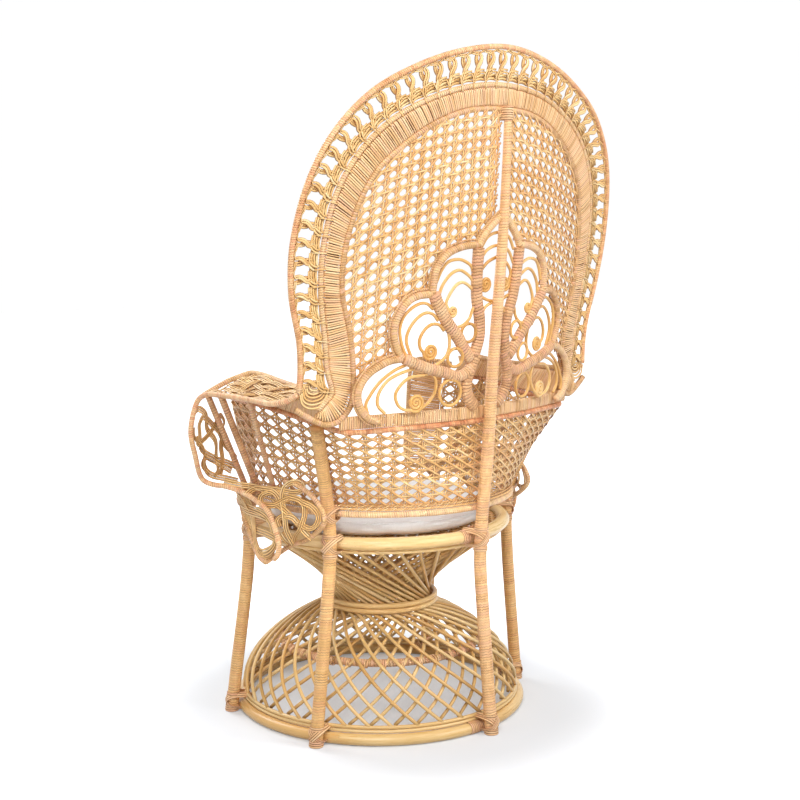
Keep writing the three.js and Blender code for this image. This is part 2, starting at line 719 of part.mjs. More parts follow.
// Arms: the outer rod runs on from the fan's outer rim, along the arm and down to the pod's tip.
// Places are shares of the place where that rim ends.
const armOuterShares = [
  [1, 0.983, 0.992], [1.016, 0.888, 0.974], [1.038, 0.755, 0.965], [1.038, 0.456, 0.967],
  [1.034, 0.207, 0.968], [1.027, 0, 0.967], [1.02, -0.207, 0.963], [1.025, -0.328, 0.943],
  [1.067, -0.332, 0.864], [1.038, -0.349, 0.793], [0.975, -0.407, 0.72], [0.943, -0.361, 0.706],
  [0.903, -0.249, 0.701], [0.869, -0.124, 0.691], [0.846, 0.05, 0.671], [0.846, 0.228, 0.646],
  [0.846, 0.324, 0.602], [0.846, 0.373, 0.563], [0.846, 0.349, 0.532], [0.846, 0.307, 0.52],
];
const armRailShares = [
  [0.837, 1.025, 0.985], [0.824, 0.83, 0.99], [0.808, 0.573, 0.993], [0.767, 0.237, 0.999],
  [0.752, -0.075, 1.01], [0.756, -0.207, 1.011], [0.794, -0.257, 1.003], [0.858, -0.274, 0.993],
  [0.914, -0.29, 0.98], [0.995, -0.315, 0.958],
];
const podFrontShares = [
  [0.84, 0.174, 0.503], [0.835, 0.079, 0.511], [0.812, -0.087, 0.549], [0.79, -0.237, 0.598],
  [0.781, -0.332, 0.658],
];
const podRearShares = [
  [0.84, 0.174, 0.503], [0.779, 0.191, 0.52], [0.729, 0.274, 0.545], [0.727, 0.523, 0.577],
  [0.731, 0.734, 0.637], [0.736, 0.631, 0.687], [0.749, 0.394, 0.721], [0.754, 0.249, 0.723],
];
const strutShares = [
  [[1.02, -0.191, 0.962], [0.736, -0.349, 0.684]],
  [[1.027, 0.017, 0.966], [0.74, -0.141, 0.674]],
  [[1.036, 0.432, 0.966], [0.74, 0.1, 0.674]],
];

const [rimEndX, rimEndY, rimEndZ] = outerRim.getPoint(1).toArray();
const armPlace = ([x, y, z]) => [x * rimEndX, y * rimEndY, z * rimEndZ];
const armCurve = (shares) => through(shares.map(armPlace));
const armOuterCurve = armCurve(armOuterShares);
const armRailCurve = armCurve(armRailShares);
const podFrontCurve = armCurve(podFrontShares);
const podRearCurve = armCurve(podRearShares);

// Part of a curve between two shares of it.
function portion(curve, [from, to]) {
  return new PlacedCurve((t) => curve.getPoint(from + (to - from) * t));
}

function bothArms(name, geometry, finish) {
  put(`${name}_left`, geometry, finish);
  put(`${name}_right`, mirrored(geometry), finish);
}

const struts = strutShares.map((ends) => tube(armCurve(ends), strutRod, 1, 5));
const outerRod = tube(armOuterCurve, outerRimRod, 46, thinRingSides);
bothArms('arm_outer_rod', join([outerRod, ...struts]), wrappedCane);
bothArms('arm_rail', tube(armRailCurve, midRimRod, 20, thinRingSides), wrappedCane);

// Where the woven panels start and end on the curves that edge them.
const bandWallShares = [0.727, 0.986];
const bandRailShares = [0.011, 0.467];
const topOuterShares = [0.016, 0.337];
const topRailShares = [0.022, 0.5];
const frontOuterShares = [0.389, 0.579];
const podFrontEdgeShares = [0.075, 1];
const podFrontRodShares = [0.905, 0.653];
const podRearEdgeShares = [0.071, 0.857];
const podRearRodShares = [0.895, 0.747];

const bandInsets = [topRailRod + 2 * rimRoom, midRimRod + 2 * rimRoom];
const sideBand = sheetBetween(
  portion(wallTopCurve, bandWallShares),
  portion(armRailCurve, bandRailShares),
  ...bandInsets,
  bandThickness,
  10,
  1,
);
bothArms('arm_band', sideBand, wrappedCane);

const frontBandInner = armCurve([[0.774, -0.556, 0.954], [0.74, -0.506, 0.823], [0.688, -0.485, 0.694]]);
const frontBandOuter = armCurve([[0.831, -0.365, 0.972], [0.821, -0.432, 0.836], [0.785, -0.44, 0.701]]);
const frontBand = sheetBetween(frontBandInner, frontBandOuter, 0, 0, bandThickness, 6, 1);

const rodInset = outerRimRod + rimRoom;
bothArms('arm_top_weave', sheetBetween(
  portion(armOuterCurve, topOuterShares),
  portion(armRailCurve, topRailShares),
  rodInset + rimRoom,
  midRimRod + rimRoom,
  laceThickness,
  12,
  1,
), wovenCane);
const frontWeave = sheetBetween(
  portion(armOuterCurve, frontOuterShares),
  frontBandOuter,
  rodInset + rimRoom,
  -bandThickness / 2,
  laceThickness,
  8,
  1,
);
bothArms('arm_front', join([frontBand, frontWeave]), wovenCane);

const podFace = (edge, outer) => sheetBetween(edge, outer, 0, rodInset + rimRoom, laceThickness, 8, 1);
const podFrontWeave = podFace(portion(podFrontCurve, podFrontEdgeShares), portion(armOuterCurve, podFrontRodShares));
const podRearWeave = podFace(portion(podRearCurve, podRearEdgeShares), portion(armOuterCurve, podRearRodShares));
const pod = join([
  tube(podFrontCurve, outerRimRod, 8, thinRingSides),
  tube(podRearCurve, outerRimRod, 14, thinRingSides),
  podFrontWeave,
  podRearWeave,
]);
bothArms('arm_pod', pod, wovenCane);

// Cushion: flat below, drawn in at its sides and crowned on top.
function cushionShape() {
  const profileShares = [
    [0, 0], [0.9, 0], [0.98, 0.14], [1, 0.4], [0.985, 0.66], [0.9, 0.84], [0.6, 0.96], [0, 1],
  ];
  const profile = profileShares.map(([r, z]) => new THREE.Vector2(r * cushionRadius, z * cushionThickness));
  const geometry = new THREE.LatheGeometry(profile, ringSegments);
  geometry.rotateX(Math.PI / 2);
  geometry.translate(0, 0, seatRingHeight + seatDeckThickness / 2 + contactGap);
  return geometry;
}
put('seat_cushion', cushionShape(), linen);

export default chair;
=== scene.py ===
from functools import partial
import bpy
import numpy as np
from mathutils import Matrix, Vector


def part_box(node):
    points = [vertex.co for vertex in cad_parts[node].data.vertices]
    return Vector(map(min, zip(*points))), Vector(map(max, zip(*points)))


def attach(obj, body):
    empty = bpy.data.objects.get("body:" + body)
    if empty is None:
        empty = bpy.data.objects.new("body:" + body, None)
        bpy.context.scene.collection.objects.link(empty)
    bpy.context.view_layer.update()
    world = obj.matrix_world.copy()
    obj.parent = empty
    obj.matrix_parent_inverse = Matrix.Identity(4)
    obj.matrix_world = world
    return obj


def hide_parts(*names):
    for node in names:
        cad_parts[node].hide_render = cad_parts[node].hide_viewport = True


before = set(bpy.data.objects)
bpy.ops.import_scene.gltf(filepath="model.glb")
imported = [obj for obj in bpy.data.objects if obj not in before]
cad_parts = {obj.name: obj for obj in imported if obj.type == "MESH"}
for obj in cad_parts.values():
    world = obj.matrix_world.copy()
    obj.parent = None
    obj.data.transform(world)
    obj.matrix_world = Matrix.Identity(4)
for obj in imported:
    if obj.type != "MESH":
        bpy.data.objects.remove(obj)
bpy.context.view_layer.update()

# Peacock chair: every length is in metres, +Z up, and the sitter faces -Y.
# Pieces are worked out round the rings' upright axis, then set back to where the frame stands.
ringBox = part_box("seat_ring")
axisBack = (ringBox[0].y + ringBox[1].y) / 2
dice = np.random.default_rng(7)
made = {}
upZ = np.array([0.0, 0.0, 1.0])
wholeTurn = 2 * np.pi


def unit(v):
    return v / np.maximum(np.linalg.norm(v, axis=-1, keepdims=True), 1e-9)


def outward(places):
    return unit(places * [1, 1, 0])


def curveAt(points, shares):
    # A smooth line through the points: cubics whose end slopes come from the square roots of the chords.
    p = np.asarray(points, float)
    p = np.vstack([2 * p[:1] - p[1:2], p, 2 * p[-1:] - p[-2:-1]])
    d = np.sqrt(np.linalg.norm(np.diff(p, axis=0), axis=1))[:, None]
    last = len(p) - 3
    at = np.clip(np.asarray(shares, float), 0, 1) * last
    k = np.minimum(at.astype(int), last - 1)
    w = (at - k)[:, None]
    p0, p1, p2, p3 = p[k], p[k + 1], p[k + 2], p[k + 3]
    d0, d1, d2 = d[k], d[k + 1], d[k + 2]
    m1 = d1 * ((p1 - p0) / d0 - (p2 - p0) / (d0 + d1) + (p2 - p1) / d1)
    m2 = d1 * ((p2 - p1) / d1 - (p3 - p1) / (d1 + d2) + (p3 - p2) / d2)
    return ((2 * w**3 - 3 * w**2 + 1) * p1 + (w**3 - 2 * w**2 + w) * m1
            + (3 * w**2 - 2 * w**3) * p2 + (w**3 - w**2) * m2)


def reachOf(line):
    return np.concatenate([[0], np.cumsum(np.linalg.norm(np.diff(line, axis=0), axis=1))])


def readAt(at, places, line):
    # The line's columns read off at given places along it.
    return np.stack([np.interp(at, places, column) for column in line.T], -1)


def resample(line, count):
    reach = reachOf(line)
    return readAt(np.linspace(0, reach[-1], count), reach, line)


def evenly(points, count):
    return resample(curveAt(points, np.linspace(0, 1, 14 * len(points))), count)


def strands(paths, facing, wide, thick=None, sides=6, loop=False):
    # A rounded profile carried along each path: middle + wide/2 cos(a) side + thick/2 sin(a) up.
    # Its UV is the length along the path, set off by the strand's own tone, and the share of the way round.
    paths = np.asarray(paths, float)
    paths = paths[None] if paths.ndim == 2 else paths
    thick = wide if thick is None else thick
    m, n, _ = paths.shape
    ahead = unit(np.roll(paths, -1, 1) - np.roll(paths, 1, 1) if loop else np.gradient(paths, axis=1))
    side = unit(np.cross(ahead, np.broadcast_to(facing, paths.shape)))
    up = np.cross(side, ahead)
    a = (np.arange(sides) + 0.5) * wholeTurn / sides
    halfWide, halfThick = (np.broadcast_to(np.asarray(size, float), (m, n))[:, :, None, None] / 2
                           for size in (wide, thick))
    grid = (paths[:, :, None] + halfWide * np.cos(a)[:, None] * side[:, :, None]
            + halfThick * np.sin(a)[:, None] * up[:, :, None])
    i, j = np.meshgrid(np.arange(n if loop else n - 1), np.arange(sides), indexing="ij")
    at = lambda ii, jj: (ii % n) * sides + jj % sides
    quads = np.stack([at(i, j), at(i + 1, j), at(i + 1, j + 1), at(i, j + 1)], -1).reshape(-1, 4)
    quads = (quads[None] + (np.arange(m) * n * sides)[:, None, None]).reshape(-1, 4)
    hops = np.linalg.norm(np.roll(paths, -1, 1) - paths, axis=2)
    reach = np.concatenate([np.zeros((m, 1)), np.cumsum(hops, 1)], 1)
    tone = dice.random(m)
    reach = reach + np.round(tone * 40)[:, None] * 0.11
    u = np.stack([reach[:, i], reach[:, i + 1], reach[:, i + 1], reach[:, i]], -1)
    v = np.broadcast_to((np.stack([j, j, j + 1, j + 1], -1) + 0.5) / sides, u.shape)
    caps = np.zeros((0, sides), int)
    if not loop:
        ring = np.arange(sides)
        start = (np.arange(m) * n * sides)[:, None]
        caps = np.vstack([start + ring, start + (n - 1) * sides + ring[::-1]])
    return dict(verts=grid.reshape(-1, 3), quads=quads, uv=np.stack([u, v], -1).reshape(-1, 2), caps=caps,
                capUv=np.zeros((caps.size, 2)), tone=np.repeat(tone, n * sides))


def makePiece(name, parts, finish, nodes=(), body="frame"):
    verts = np.concatenate([p["verts"] for p in parts])
    verts[:, 1] += axisBack
    shift = np.cumsum([0] + [len(p["verts"]) for p in parts[:-1]])
    loops, sizes, uvs = [], [], []
    for p, s in zip(parts, shift):
        loops += [(p["quads"] + s).ravel(), (p["caps"] + s).ravel()]
        sizes += [np.full(len(p["quads"]), 4), np.full(len(p["caps"]), p["caps"].shape[1])]
        uvs += [p["uv"], p["capUv"]]
    loops, sizes, uvs = np.concatenate(loops), np.concatenate(sizes), np.concatenate(uvs)
    mesh = bpy.data.meshes.new(name)
    mesh.vertices.add(len(verts))
    mesh.vertices.foreach_set("co", verts.astype(np.float32).ravel())
    mesh.loops.add(len(loops))
    mesh.loops.foreach_set("vertex_index", loops.astype(np.int32))
    mesh.polygons.add(len(sizes))
    mesh.polygons.foreach_set("loop_start", np.concatenate([[0], np.cumsum(sizes)[:-1]]).astype(np.int32))
    mesh.polygons.foreach_set("use_smooth", np.ones(len(sizes), bool))
    mesh.uv_layers.new(name="canePlace").data.foreach_set("uv", uvs.astype(np.float32).ravel())
    tone = mesh.attributes.new("tone", "FLOAT", "POINT")
    tone.data.foreach_set("value", np.concatenate([p["tone"] for p in parts]).astype(np.float32))
    mesh.update(calc_edges=True)
    mesh.materials.append(finishes[finish])
    piece = bpy.data.objects.new(name, mesh)
    bpy.context.scene.collection.objects.link(piece)
    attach(piece, body)
    if nodes:
        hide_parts(*nodes)
    made[name] = int((sizes - 2).sum())


def cornersOf(mesh):
    places = np.zeros(len(mesh.vertices) * 3, np.float32)
    mesh.vertices.foreach_get("co", places)
    return places.reshape(-1, 3)


def polar(radius, turn, height):
    a = np.radians(turn)
    return np.stack(np.broadcast_arrays(radius * np.sin(a), radius * np.cos(a), height), -1).astype(float)


def turned(path, turns):
    # The path turned round the upright axis by each angle in degrees.
    a = np.radians(np.asarray(turns, float))[:, None]
    x, y, z = path[None, :, 0], path[None, :, 1], path[None, :, 2]
    return np.stack([x * np.cos(a) + y * np.sin(a), y * np.cos(a) - x * np.sin(a), z + 0 * a], -1)


def twisted(path, facing, radius, pitch, plies, start=0.0):
    # Plies wound round a path: each leaves it by radius in a direction that turns once per pitch.
    ahead = unit(np.gradient(path, axis=0))
    side = unit(np.cross(ahead, np.broadcast_to(facing, path.shape)))
    up = np.cross(side, ahead)
    a = (wholeTurn * reachOf(path) / pitch)[None] + start + wholeTurn * np.arange(plies)[:, None] / plies
    return path[None] + radius * (np.cos(a)[..., None] * side + np.sin(a)[..., None] * up)


def caneLoops(middles, axisA, axisB, halfA, halfB, wide, thick=0.0018, count=20, power=1.0):
    # Closed turns of flat cane: middle + halfA c axisA + halfB s axisB, c and s the cosine and sine to a power.
    a = wholeTurn * np.arange(count) / count
    c, s = (np.sign(w) * np.abs(w) ** power for w in (np.cos(a), np.sin(a)))
    axisA, axisB = (np.broadcast_to(axis, middles.shape)[:, None] for axis in (axisA, axisB))
    halfA, halfB = (np.broadcast_to(half, len(middles))[:, None, None] for half in (halfA, halfB))
    out = halfA * c[:, None] * axisA + halfB * s[:, None] * axisB
    return strands(middles[:, None] + out, unit(out), wide, thick, 6, True)


def feed(tree, node, inputs):
    for key, value in inputs.items():
        if isinstance(value, bpy.types.NodeSocket):
            tree.links.new(value, node.inputs[key])
        else:
            node.inputs[key].default_value = value


def addNode(tree, kind, inputs={}, **settings):
    node = tree.nodes.new(kind)
    for key, value in settings.items():
        setattr(node, key, value)
    feed(tree, node, inputs)
    return node


def calc(tree, operation, a, b=0.0, c=0.0):
    return addNode(tree, "ShaderNodeMath", {0: a, 1: b, 2: c}, operation=operation).outputs[0]


def noise(tree, vector, scale, detail, rough=0.5):
    return addNode(tree, "ShaderNodeTexNoise",
                   {"Vector": vector, "Scale": scale, "Detail": detail, "Roughness": rough}).outputs[0]


def chance(tree, seed):
    return addNode(tree, "ShaderNodeTexWhiteNoise", {"W": seed}, noise_dimensions="1D").outputs[0]


def ranged(tree, value, low, high, atLow, atHigh, kind="LINEAR"):
    return addNode(tree, "ShaderNodeMapRange", {0: value, 1: low, 2: high, 3: atLow, 4: atHigh},
                   interpolation_type=kind).outputs[0]


def blend(tree, share, under, over):
    return addNode(tree, "ShaderNodeMix", {"Factor": share, 6: under, 7: over}, data_type="RGBA").outputs[2]


def alongAndRound(tree, place):
    return addNode(tree, "ShaderNodeSeparateXYZ", {0: place}).outputs[:2]


def newGroup(name, takes, gives):
    group = bpy.data.node_groups.new(name, "ShaderNodeTree")
    for way, labels in (("INPUT", takes), ("OUTPUT", gives)):
        for label in labels:
            kind = "NodeSocketVector" if label == "Place" else "NodeSocketFloat"
            group.interface.new_socket(label, in_out=way, socket_type=kind)
    return group, addNode(group, "NodeGroupInput").outputs


def newFinish(name):
    finish = bpy.data.materials.new(name)
    finish.use_nodes = True
    return finish, finish.node_tree, finish.node_tree.nodes["Principled BSDF"]


def turnsNodes():
    # Turns of cane wound on a rod: the length along it and the way round it are cut into turns.
    # Each turn has its own tone, a rounded height and, beside the next, a painted shade of its own width for the shade
    # in the groove between turns.
    tree, given = newGroup("caneTurns", ("Place", "Turns", "Slant", "GapShade"), ("Tone", "GapShade", "Height"))
    do = partial(calc, tree)
    along, around = alongAndRound(tree, given["Place"])
    drift = do("MULTIPLY", noise(tree, given["Place"], 24.0, 1.0), 0.9)
    phase = do("MULTIPLY_ADD", along, given["Turns"], do("MULTIPLY_ADD", around, given["Slant"], drift))
    whole = do("FLOOR", phase)
    arch = do("SINE", do("MULTIPLY", do("FRACT", phase), np.pi))
    uneven = do("POWER", chance(tree, do("ADD", whole, 0.37)), 3.0)
    gap = do("MULTIPLY", given["GapShade"], do("MULTIPLY_ADD", uneven, 2.2, 0.35))
    # The painted shade in the groove between turns: full in the gap, fading over the turn's rounded edge.
    dark = ranged(tree, arch, do("MULTIPLY", gap, 0.3), gap, 1.0, 0.0, "SMOOTHSTEP")
    addNode(tree, "NodeGroupOutput", {"Tone": chance(tree, whole), "GapShade": dark, "Height": do("POWER", arch, 0.45)})
    return tree


def fibreNodes():
    # Fibres of cane: fine noise drawn out along the strand, and slow patches of ripeness over it.
    tree, given = newGroup("caneFibres", ("Place", "Along", "Across", "Shift"), ("Streak", "Patch"))
    do = partial(calc, tree)
    along, around = alongAndRound(tree, given["Place"])
    drawn = addNode(tree, "ShaderNodeCombineXYZ", {
        0: do("MULTIPLY", along, given["Along"]), 1: do("MULTIPLY", around, given["Across"]),
        2: do("MULTIPLY", given["Shift"], 31.0)}).outputs[0]
    addNode(tree, "NodeGroupOutput",
            {"Streak": noise(tree, drawn, 1.0, 4.0, 0.62), "Patch": noise(tree, drawn, 0.21, 2.0)})
    return tree


# Cane colours are written as linear light: deep where it is ripe, pale where the skin is off, blush where it is
# pink. turns is how many to a metre, share how much they differ, gap how wide the painted shade between turns is,
# and edge how dark the painted shade along a flat cane's edges is.
wound = dict(turns=215.0, share=0.3, gap=0.30, edge=0.0, along=40.0, across=6.0, bump=0.0011, rough=0.40)
spun = dict(wound, turns=172.0, share=0.22, across=9.0, rough=0.42)
flat = dict(turns=None, share=0.12, gap=0.02, edge=0.72, along=22.0, across=5.0, bump=0.0002, rough=0.42)
plain = dict(flat, share=0.06, edge=0.0)
caneLooks = {
    "bandCane": dict(flat, deep=(0.62, 0.32, 0.12), middle=(0.92, 0.58, 0.27), pale=(0.99, 0.78, 0.48),
                     blush=(0.90, 0.54, 0.32), edge=0.42, along=26.0, rough=0.40),
    "postCane": dict(spun, deep=(0.62, 0.31, 0.12), middle=(0.93, 0.56, 0.255), pale=(0.97, 0.70, 0.38),
                     blush=(0.84, 0.46, 0.27), gap=0.24, bump=0.0014),
    # The side and front posts take a darker copy of the post cane: painted shade on these posts.
    "sidePostShadedCane": dict(spun, deep=(0.50, 0.25, 0.08), middle=(0.80, 0.46, 0.17), pale=(0.91, 0.60, 0.28),
                         blush=(0.76, 0.39, 0.17), gap=0.28, bump=0.0012),
    "spokeCane": dict(spun, deep=(0.52, 0.26, 0.11), middle=(0.78, 0.44, 0.21), pale=(0.88, 0.60, 0.35),
                      blush=(0.76, 0.38, 0.23), turns=150.0, share=0.30, bump=0.0022),
    "tieCane": dict(flat, deep=(0.56, 0.29, 0.12), middle=(0.84, 0.52, 0.26), pale=(0.95, 0.70, 0.42),
                    blush=(0.82, 0.44, 0.27), edge=0.65, along=30.0),
    "rimCane": dict(wound, deep=(0.60, 0.25, 0.09), middle=(0.94, 0.55, 0.26), pale=(0.98, 0.70, 0.42),
                    blush=(0.86, 0.38, 0.20)),
    "paleRimCane": dict(wound, deep=(0.54, 0.28, 0.10), middle=(0.86, 0.53, 0.24), pale=(0.96, 0.72, 0.42),
                        blush=(0.86, 0.50, 0.31), turns=200.0, share=0.2, gap=0.32, bump=0.0014),
    "railCane": dict(wound, deep=(0.46, 0.15, 0.05), middle=(0.84, 0.42, 0.19), pale=(0.95, 0.64, 0.38),
                     blush=(0.76, 0.28, 0.13), share=0.5),
    "wallCane": dict(flat, deep=(0.52, 0.24, 0.07), middle=(0.83, 0.50, 0.185), pale=(0.96, 0.73, 0.42),
                     blush=(0.79, 0.41, 0.17), edge=0.80),
    "weaveCane": dict(flat, deep=(0.60, 0.28, 0.08), middle=(0.92, 0.55, 0.21), pale=(0.99, 0.77, 0.45),
                      blush=(0.88, 0.46, 0.20)),
    "laceCane": dict(flat, deep=(0.58, 0.29, 0.08), middle=(0.88, 0.56, 0.22), pale=(0.97, 0.76, 0.42),
                     blush=(0.82, 0.48, 0.17), edge=0.75, bump=0.0003, rough=0.40),
    "poleCane": dict(plain, deep=(0.36, 0.18, 0.042), middle=(0.71, 0.46, 0.18), pale=(0.89, 0.68, 0.36),
                     blush=(0.66, 0.37, 0.12), along=14.0, across=13.0, bump=0.0004, rough=0.30),
    "loopCane": dict(plain, deep=(0.50, 0.23, 0.05), middle=(0.77, 0.43, 0.13), pale=(0.90, 0.62, 0.28),
                     blush=(0.74, 0.38, 0.10), along=16.0, across=6.0, rough=0.32),
    "coreCane": dict(plain, deep=(0.12, 0.05, 0.015), middle=(0.22, 0.10, 0.035), pale=(0.34, 0.18, 0.07),
                     blush=(0.24, 0.11, 0.04), share=0.1, along=60.0, rough=0.7),
}


def caneFinish(name, look):
    # Colour: deep, middle and pale cane by a half plus each tone's weight times how far it is from a half.
    finish, tree, shader = newFinish(name)
    do = partial(calc, tree)
    place = addNode(tree, "ShaderNodeUVMap", uv_map="canePlace").outputs[0]
    strand = addNode(tree, "ShaderNodeAttribute", attribute_name="tone").outputs["Fac"]
    slow = noise(tree, addNode(tree, "ShaderNodeTexCoord").outputs["Object"], 7.0, 2.0)
    fibres = addNode(tree, "ShaderNodeGroup", {"Place": place, "Shift": strand, "Along": look["along"],
                                               "Across": look["across"]}, node_tree=fibreGroup).outputs
    turns = addNode(tree, "ShaderNodeGroup", {"Place": place, "Turns": look["turns"] or 3.1, "GapShade": look["gap"],
                                              "Slant": 1.0 if look["turns"] else 0.0}, node_tree=turnsGroup).outputs
    tones = ((strand, 0.5), (turns["Tone"], look["share"]), (fibres["Streak"], 0.9), (fibres["Patch"], 0.7),
             (slow, 0.5))
    mix = 0.5 - sum(weight for _, weight in tones) / 2
    for value, weight in tones:
        mix = do("MULTIPLY_ADD", value, weight, mix)
    ramp = addNode(tree, "ShaderNodeValToRGB", {0: mix})
    ends = ramp.color_ramp.elements
    ends[0].position, ends[1].position = 0.05, 0.98
    ends[0].color, ends[1].color = (*look["deep"], 1), (*look["pale"], 1)
    ends.new(0.46).color = (*look["middle"], 1)
    # Here and there a turn or a strand is pinker than the rest.
    pick = chance(tree, do("MULTIPLY_ADD", strand, 97.0, do("MULTIPLY", turns["Tone"], 53.0)))
    pink = ranged(tree, do("MULTIPLY_ADD", slow, 0.8, pick), 0.85, 1.35, 0.0, 0.75)
    flush = blend(tree, pink, ramp.outputs[0], (*look["blush"], 1))
    # A flat cane's edges get painted shade, for the shade between neighbouring canes: the cosine of its angle round the
    # strand is large there.
    sideways = do("ABSOLUTE", do("COSINE", do("MULTIPLY", alongAndRound(tree, place)[1], wholeTurn)))
    edge = ranged(tree, sideways, 0.54, 0.74, 0.0, look["edge"])
    # Painted shade colour, a darker deep, laid in the grooves between turns and along flat canes' edges.
    dark = tuple(share * c for share, c in zip((0.42, 0.26, 0.18), look["deep"]))
    shade = blend(tree, do("MAXIMUM", do("MULTIPLY", turns["GapShade"], 0.8), edge), flush, (*dark, 1))
    relief = do("MULTIPLY", fibres["Streak"], 0.35)
    relief = do("ADD", relief, turns["Height"]) if look["turns"] else relief
    bump = addNode(tree, "ShaderNodeBump", {"Height": relief, "Distance": look["bump"], "Strength": 0.9})
    gloss = do("MULTIPLY_ADD", fibres["Streak"], 0.3, look["rough"] - 0.15)
    feed(tree, shader, {"Base Color": shade, "Roughness": gloss, "Specular IOR Level": 0.4, "Normal": bump.outputs[0]})
    return finish


linenLook = dict(light=(0.94, 0.97, 1.0), dark=(0.82, 0.84, 0.86), threads=1100.0, slub=70.0)


def linenFinish(name, look):
    # Linen: threads both ways as noise drawn out along X and along Y, with slubs and a soft slow shade.
    finish, tree, shader = newFinish(name)
    do = partial(calc, tree)
    spot = addNode(tree, "ShaderNodeTexCoord").outputs["Object"]
    threads, slub = look["threads"], look["slub"]
    cloth = do("MAXIMUM", *(noise(tree, addNode(tree, "ShaderNodeMapping", {"Vector": spot, "Scale": scale}).outputs[0],
                                  1.0, 2.0) for scale in ((slub, threads, threads), (threads, slub, slub * 4))))
    mix = do("MULTIPLY_ADD", noise(tree, spot, 16.0, 3.0), 0.5, do("MULTIPLY_ADD", cloth, 1.4, -0.45))
    bump = addNode(tree, "ShaderNodeBump", {"Height": cloth, "Distance": 0.0006, "Strength": 0.8})
    feed(tree, shader, {"Base Color": blend(tree, mix, (*look["dark"], 1), (*look["light"], 1)),
                        "Roughness": do("MULTIPLY_ADD", cloth, -0.15, 0.98), "Sheen Weight": 0.15,
                        "Sheen Roughness": 0.5, "Normal": bump.outputs[0]})
    return finish


fibreGroup, turnsGroup = fibreNodes(), turnsNodes()
finishes = {name: caneFinish(name, look) for name, look in caneLooks.items()}
finishes["cushionLinen"] = linenFinish("cushionLinen", linenLook)
print("finishes ready")

base = dict(ring=0.3241, trim=0.3201, trimHeight=0.0383, seat=0.2858, seatHeight=0.430, domeTop=0.229, rods=38,
            rod=0.0081, gap=0.0109, rodWaist=0.1237, coneTop=0.2715, coneHeight=0.408, fullness=1.8, lean=60.0,
            tie=0.2369, tieHeight=0.1512, tieApart=0.0024, tieTurn=25.2, tieOut=0.0125, tieUp=0.0088)


def ringPiece(name, nodes, radius, heights, wide, sides, count, thick=None, finish="poleCane"):
    around = np.arange(count) * 360 / count
    rings = [strands(polar(radius, around, height), upZ, wide, thick, sides, True) for height in heights]
    makePiece(name, rings, finish, nodes)


def domePlace(share, inward):
    # Radius and height of the dome: a quarter turn whose cosine is raised to a power, so the side stands full.
    a = np.asarray(share, float) * np.pi / 2
    radius = base["rodWaist"] + (base["trim"] - base["rodWaist"]) * np.cos(a) ** base["fullness"]
    height = base["trimHeight"] + (base["domeTop"] - base["trimHeight"]) * np.sin(a)
    return radius - inward, height - 0.6 * inward * np.sin(a)


def rodLayer(direction, inward, coneTwist):
    # Each rod climbs the dome as it leans round it, and runs straight on up the cone.
    share = np.array([0, 0.12, 0.25, 0.4, 0.55, 0.7, 0.85, 0.96])
    radius, height = domePlace(share, inward)
    dome = polar(radius, direction * base["lean"] * share, height)
    radius, height = domePlace(1.0, inward)
    low = polar(radius, direction * base["lean"], height)
    top = polar(base["coneTop"] - inward, direction * (base["lean"] + coneTwist), base["coneHeight"] + 0.8 * inward)
    climb = np.array([0.05, 0.2, 0.4, 0.6, 0.8, 1.0])[:, None]
    path = evenly(np.vstack([dome, low + (top - low) * climb]), 40)
    paths = turned(path, np.arange(base["rods"]) * 360 / base["rods"] + dice.normal(0, 0.5, base["rods"]))
    return strands(paths, outward(paths), base["rod"] * dice.uniform(0.94, 1.04, (base["rods"], 1)), None, 8)


ringPiece("baseRing", ["base_ring"], base["ring"], [0.01256], wide=0.029, thick=0.0249, sides=16, count=176)
ringPiece("baseTrimRings", ["base_trim_ring"], base["trim"], [0.0296, base["trimHeight"]], wide=0.0084, sides=8,
          count=176)
makePiece("hourglassOuterRods", [rodLayer(1, 0.0, 88.0)], "poleCane", ["hourglass_outer_rods"])
makePiece("hourglassInnerRods", [rodLayer(-1, base["gap"], 100.0)], "poleCane", ["hourglass_inner_rods"])
ringPiece("hourglassHoop", [], 0.2307, [base["tieHeight"]], wide=0.0178, sides=10, count=128, finish="spokeCane")
# Small turns of cane bind the rods to the hoop: leaning ovals in the plane that holds the axis.
hoopTies = []
tieTurns = np.arange(base["rods"]) * 360 / base["rods"] - base["tieTurn"]
for shift in (-base["tieApart"], base["tieApart"]):
    out, along = polar(1.0, tieTurns, 0.0), polar(1.0, tieTurns + 90, 0.0)
    middles = out * base["tie"] + upZ * base["tieHeight"] + along * shift
    lean = unit(upZ + along * dice.normal(0, 0.12, (base["rods"], 1)))
    hoopTies.append(caneLoops(middles, out, lean, base["tieOut"], base["tieUp"], 0.0044, 0.0014, 16))
makePiece("hourglassTies", hoopTies, "tieCane", ())
ringPiece("waistRings", ["waist_ring_lower", "waist_ring_upper"], 0.130, [0.2382, 0.2505], wide=0.012, sides=10,
          count=112)
ringPiece("seatRing", ["seat_ring"], base["seat"], [base["seatHeight"]], wide=0.032, thick=0.0277, sides=16, count=176)
ringPiece("seatTrimRing", ["seat_trim_ring"], 0.2808, [0.4109], wide=0.010, sides=8, count=160)

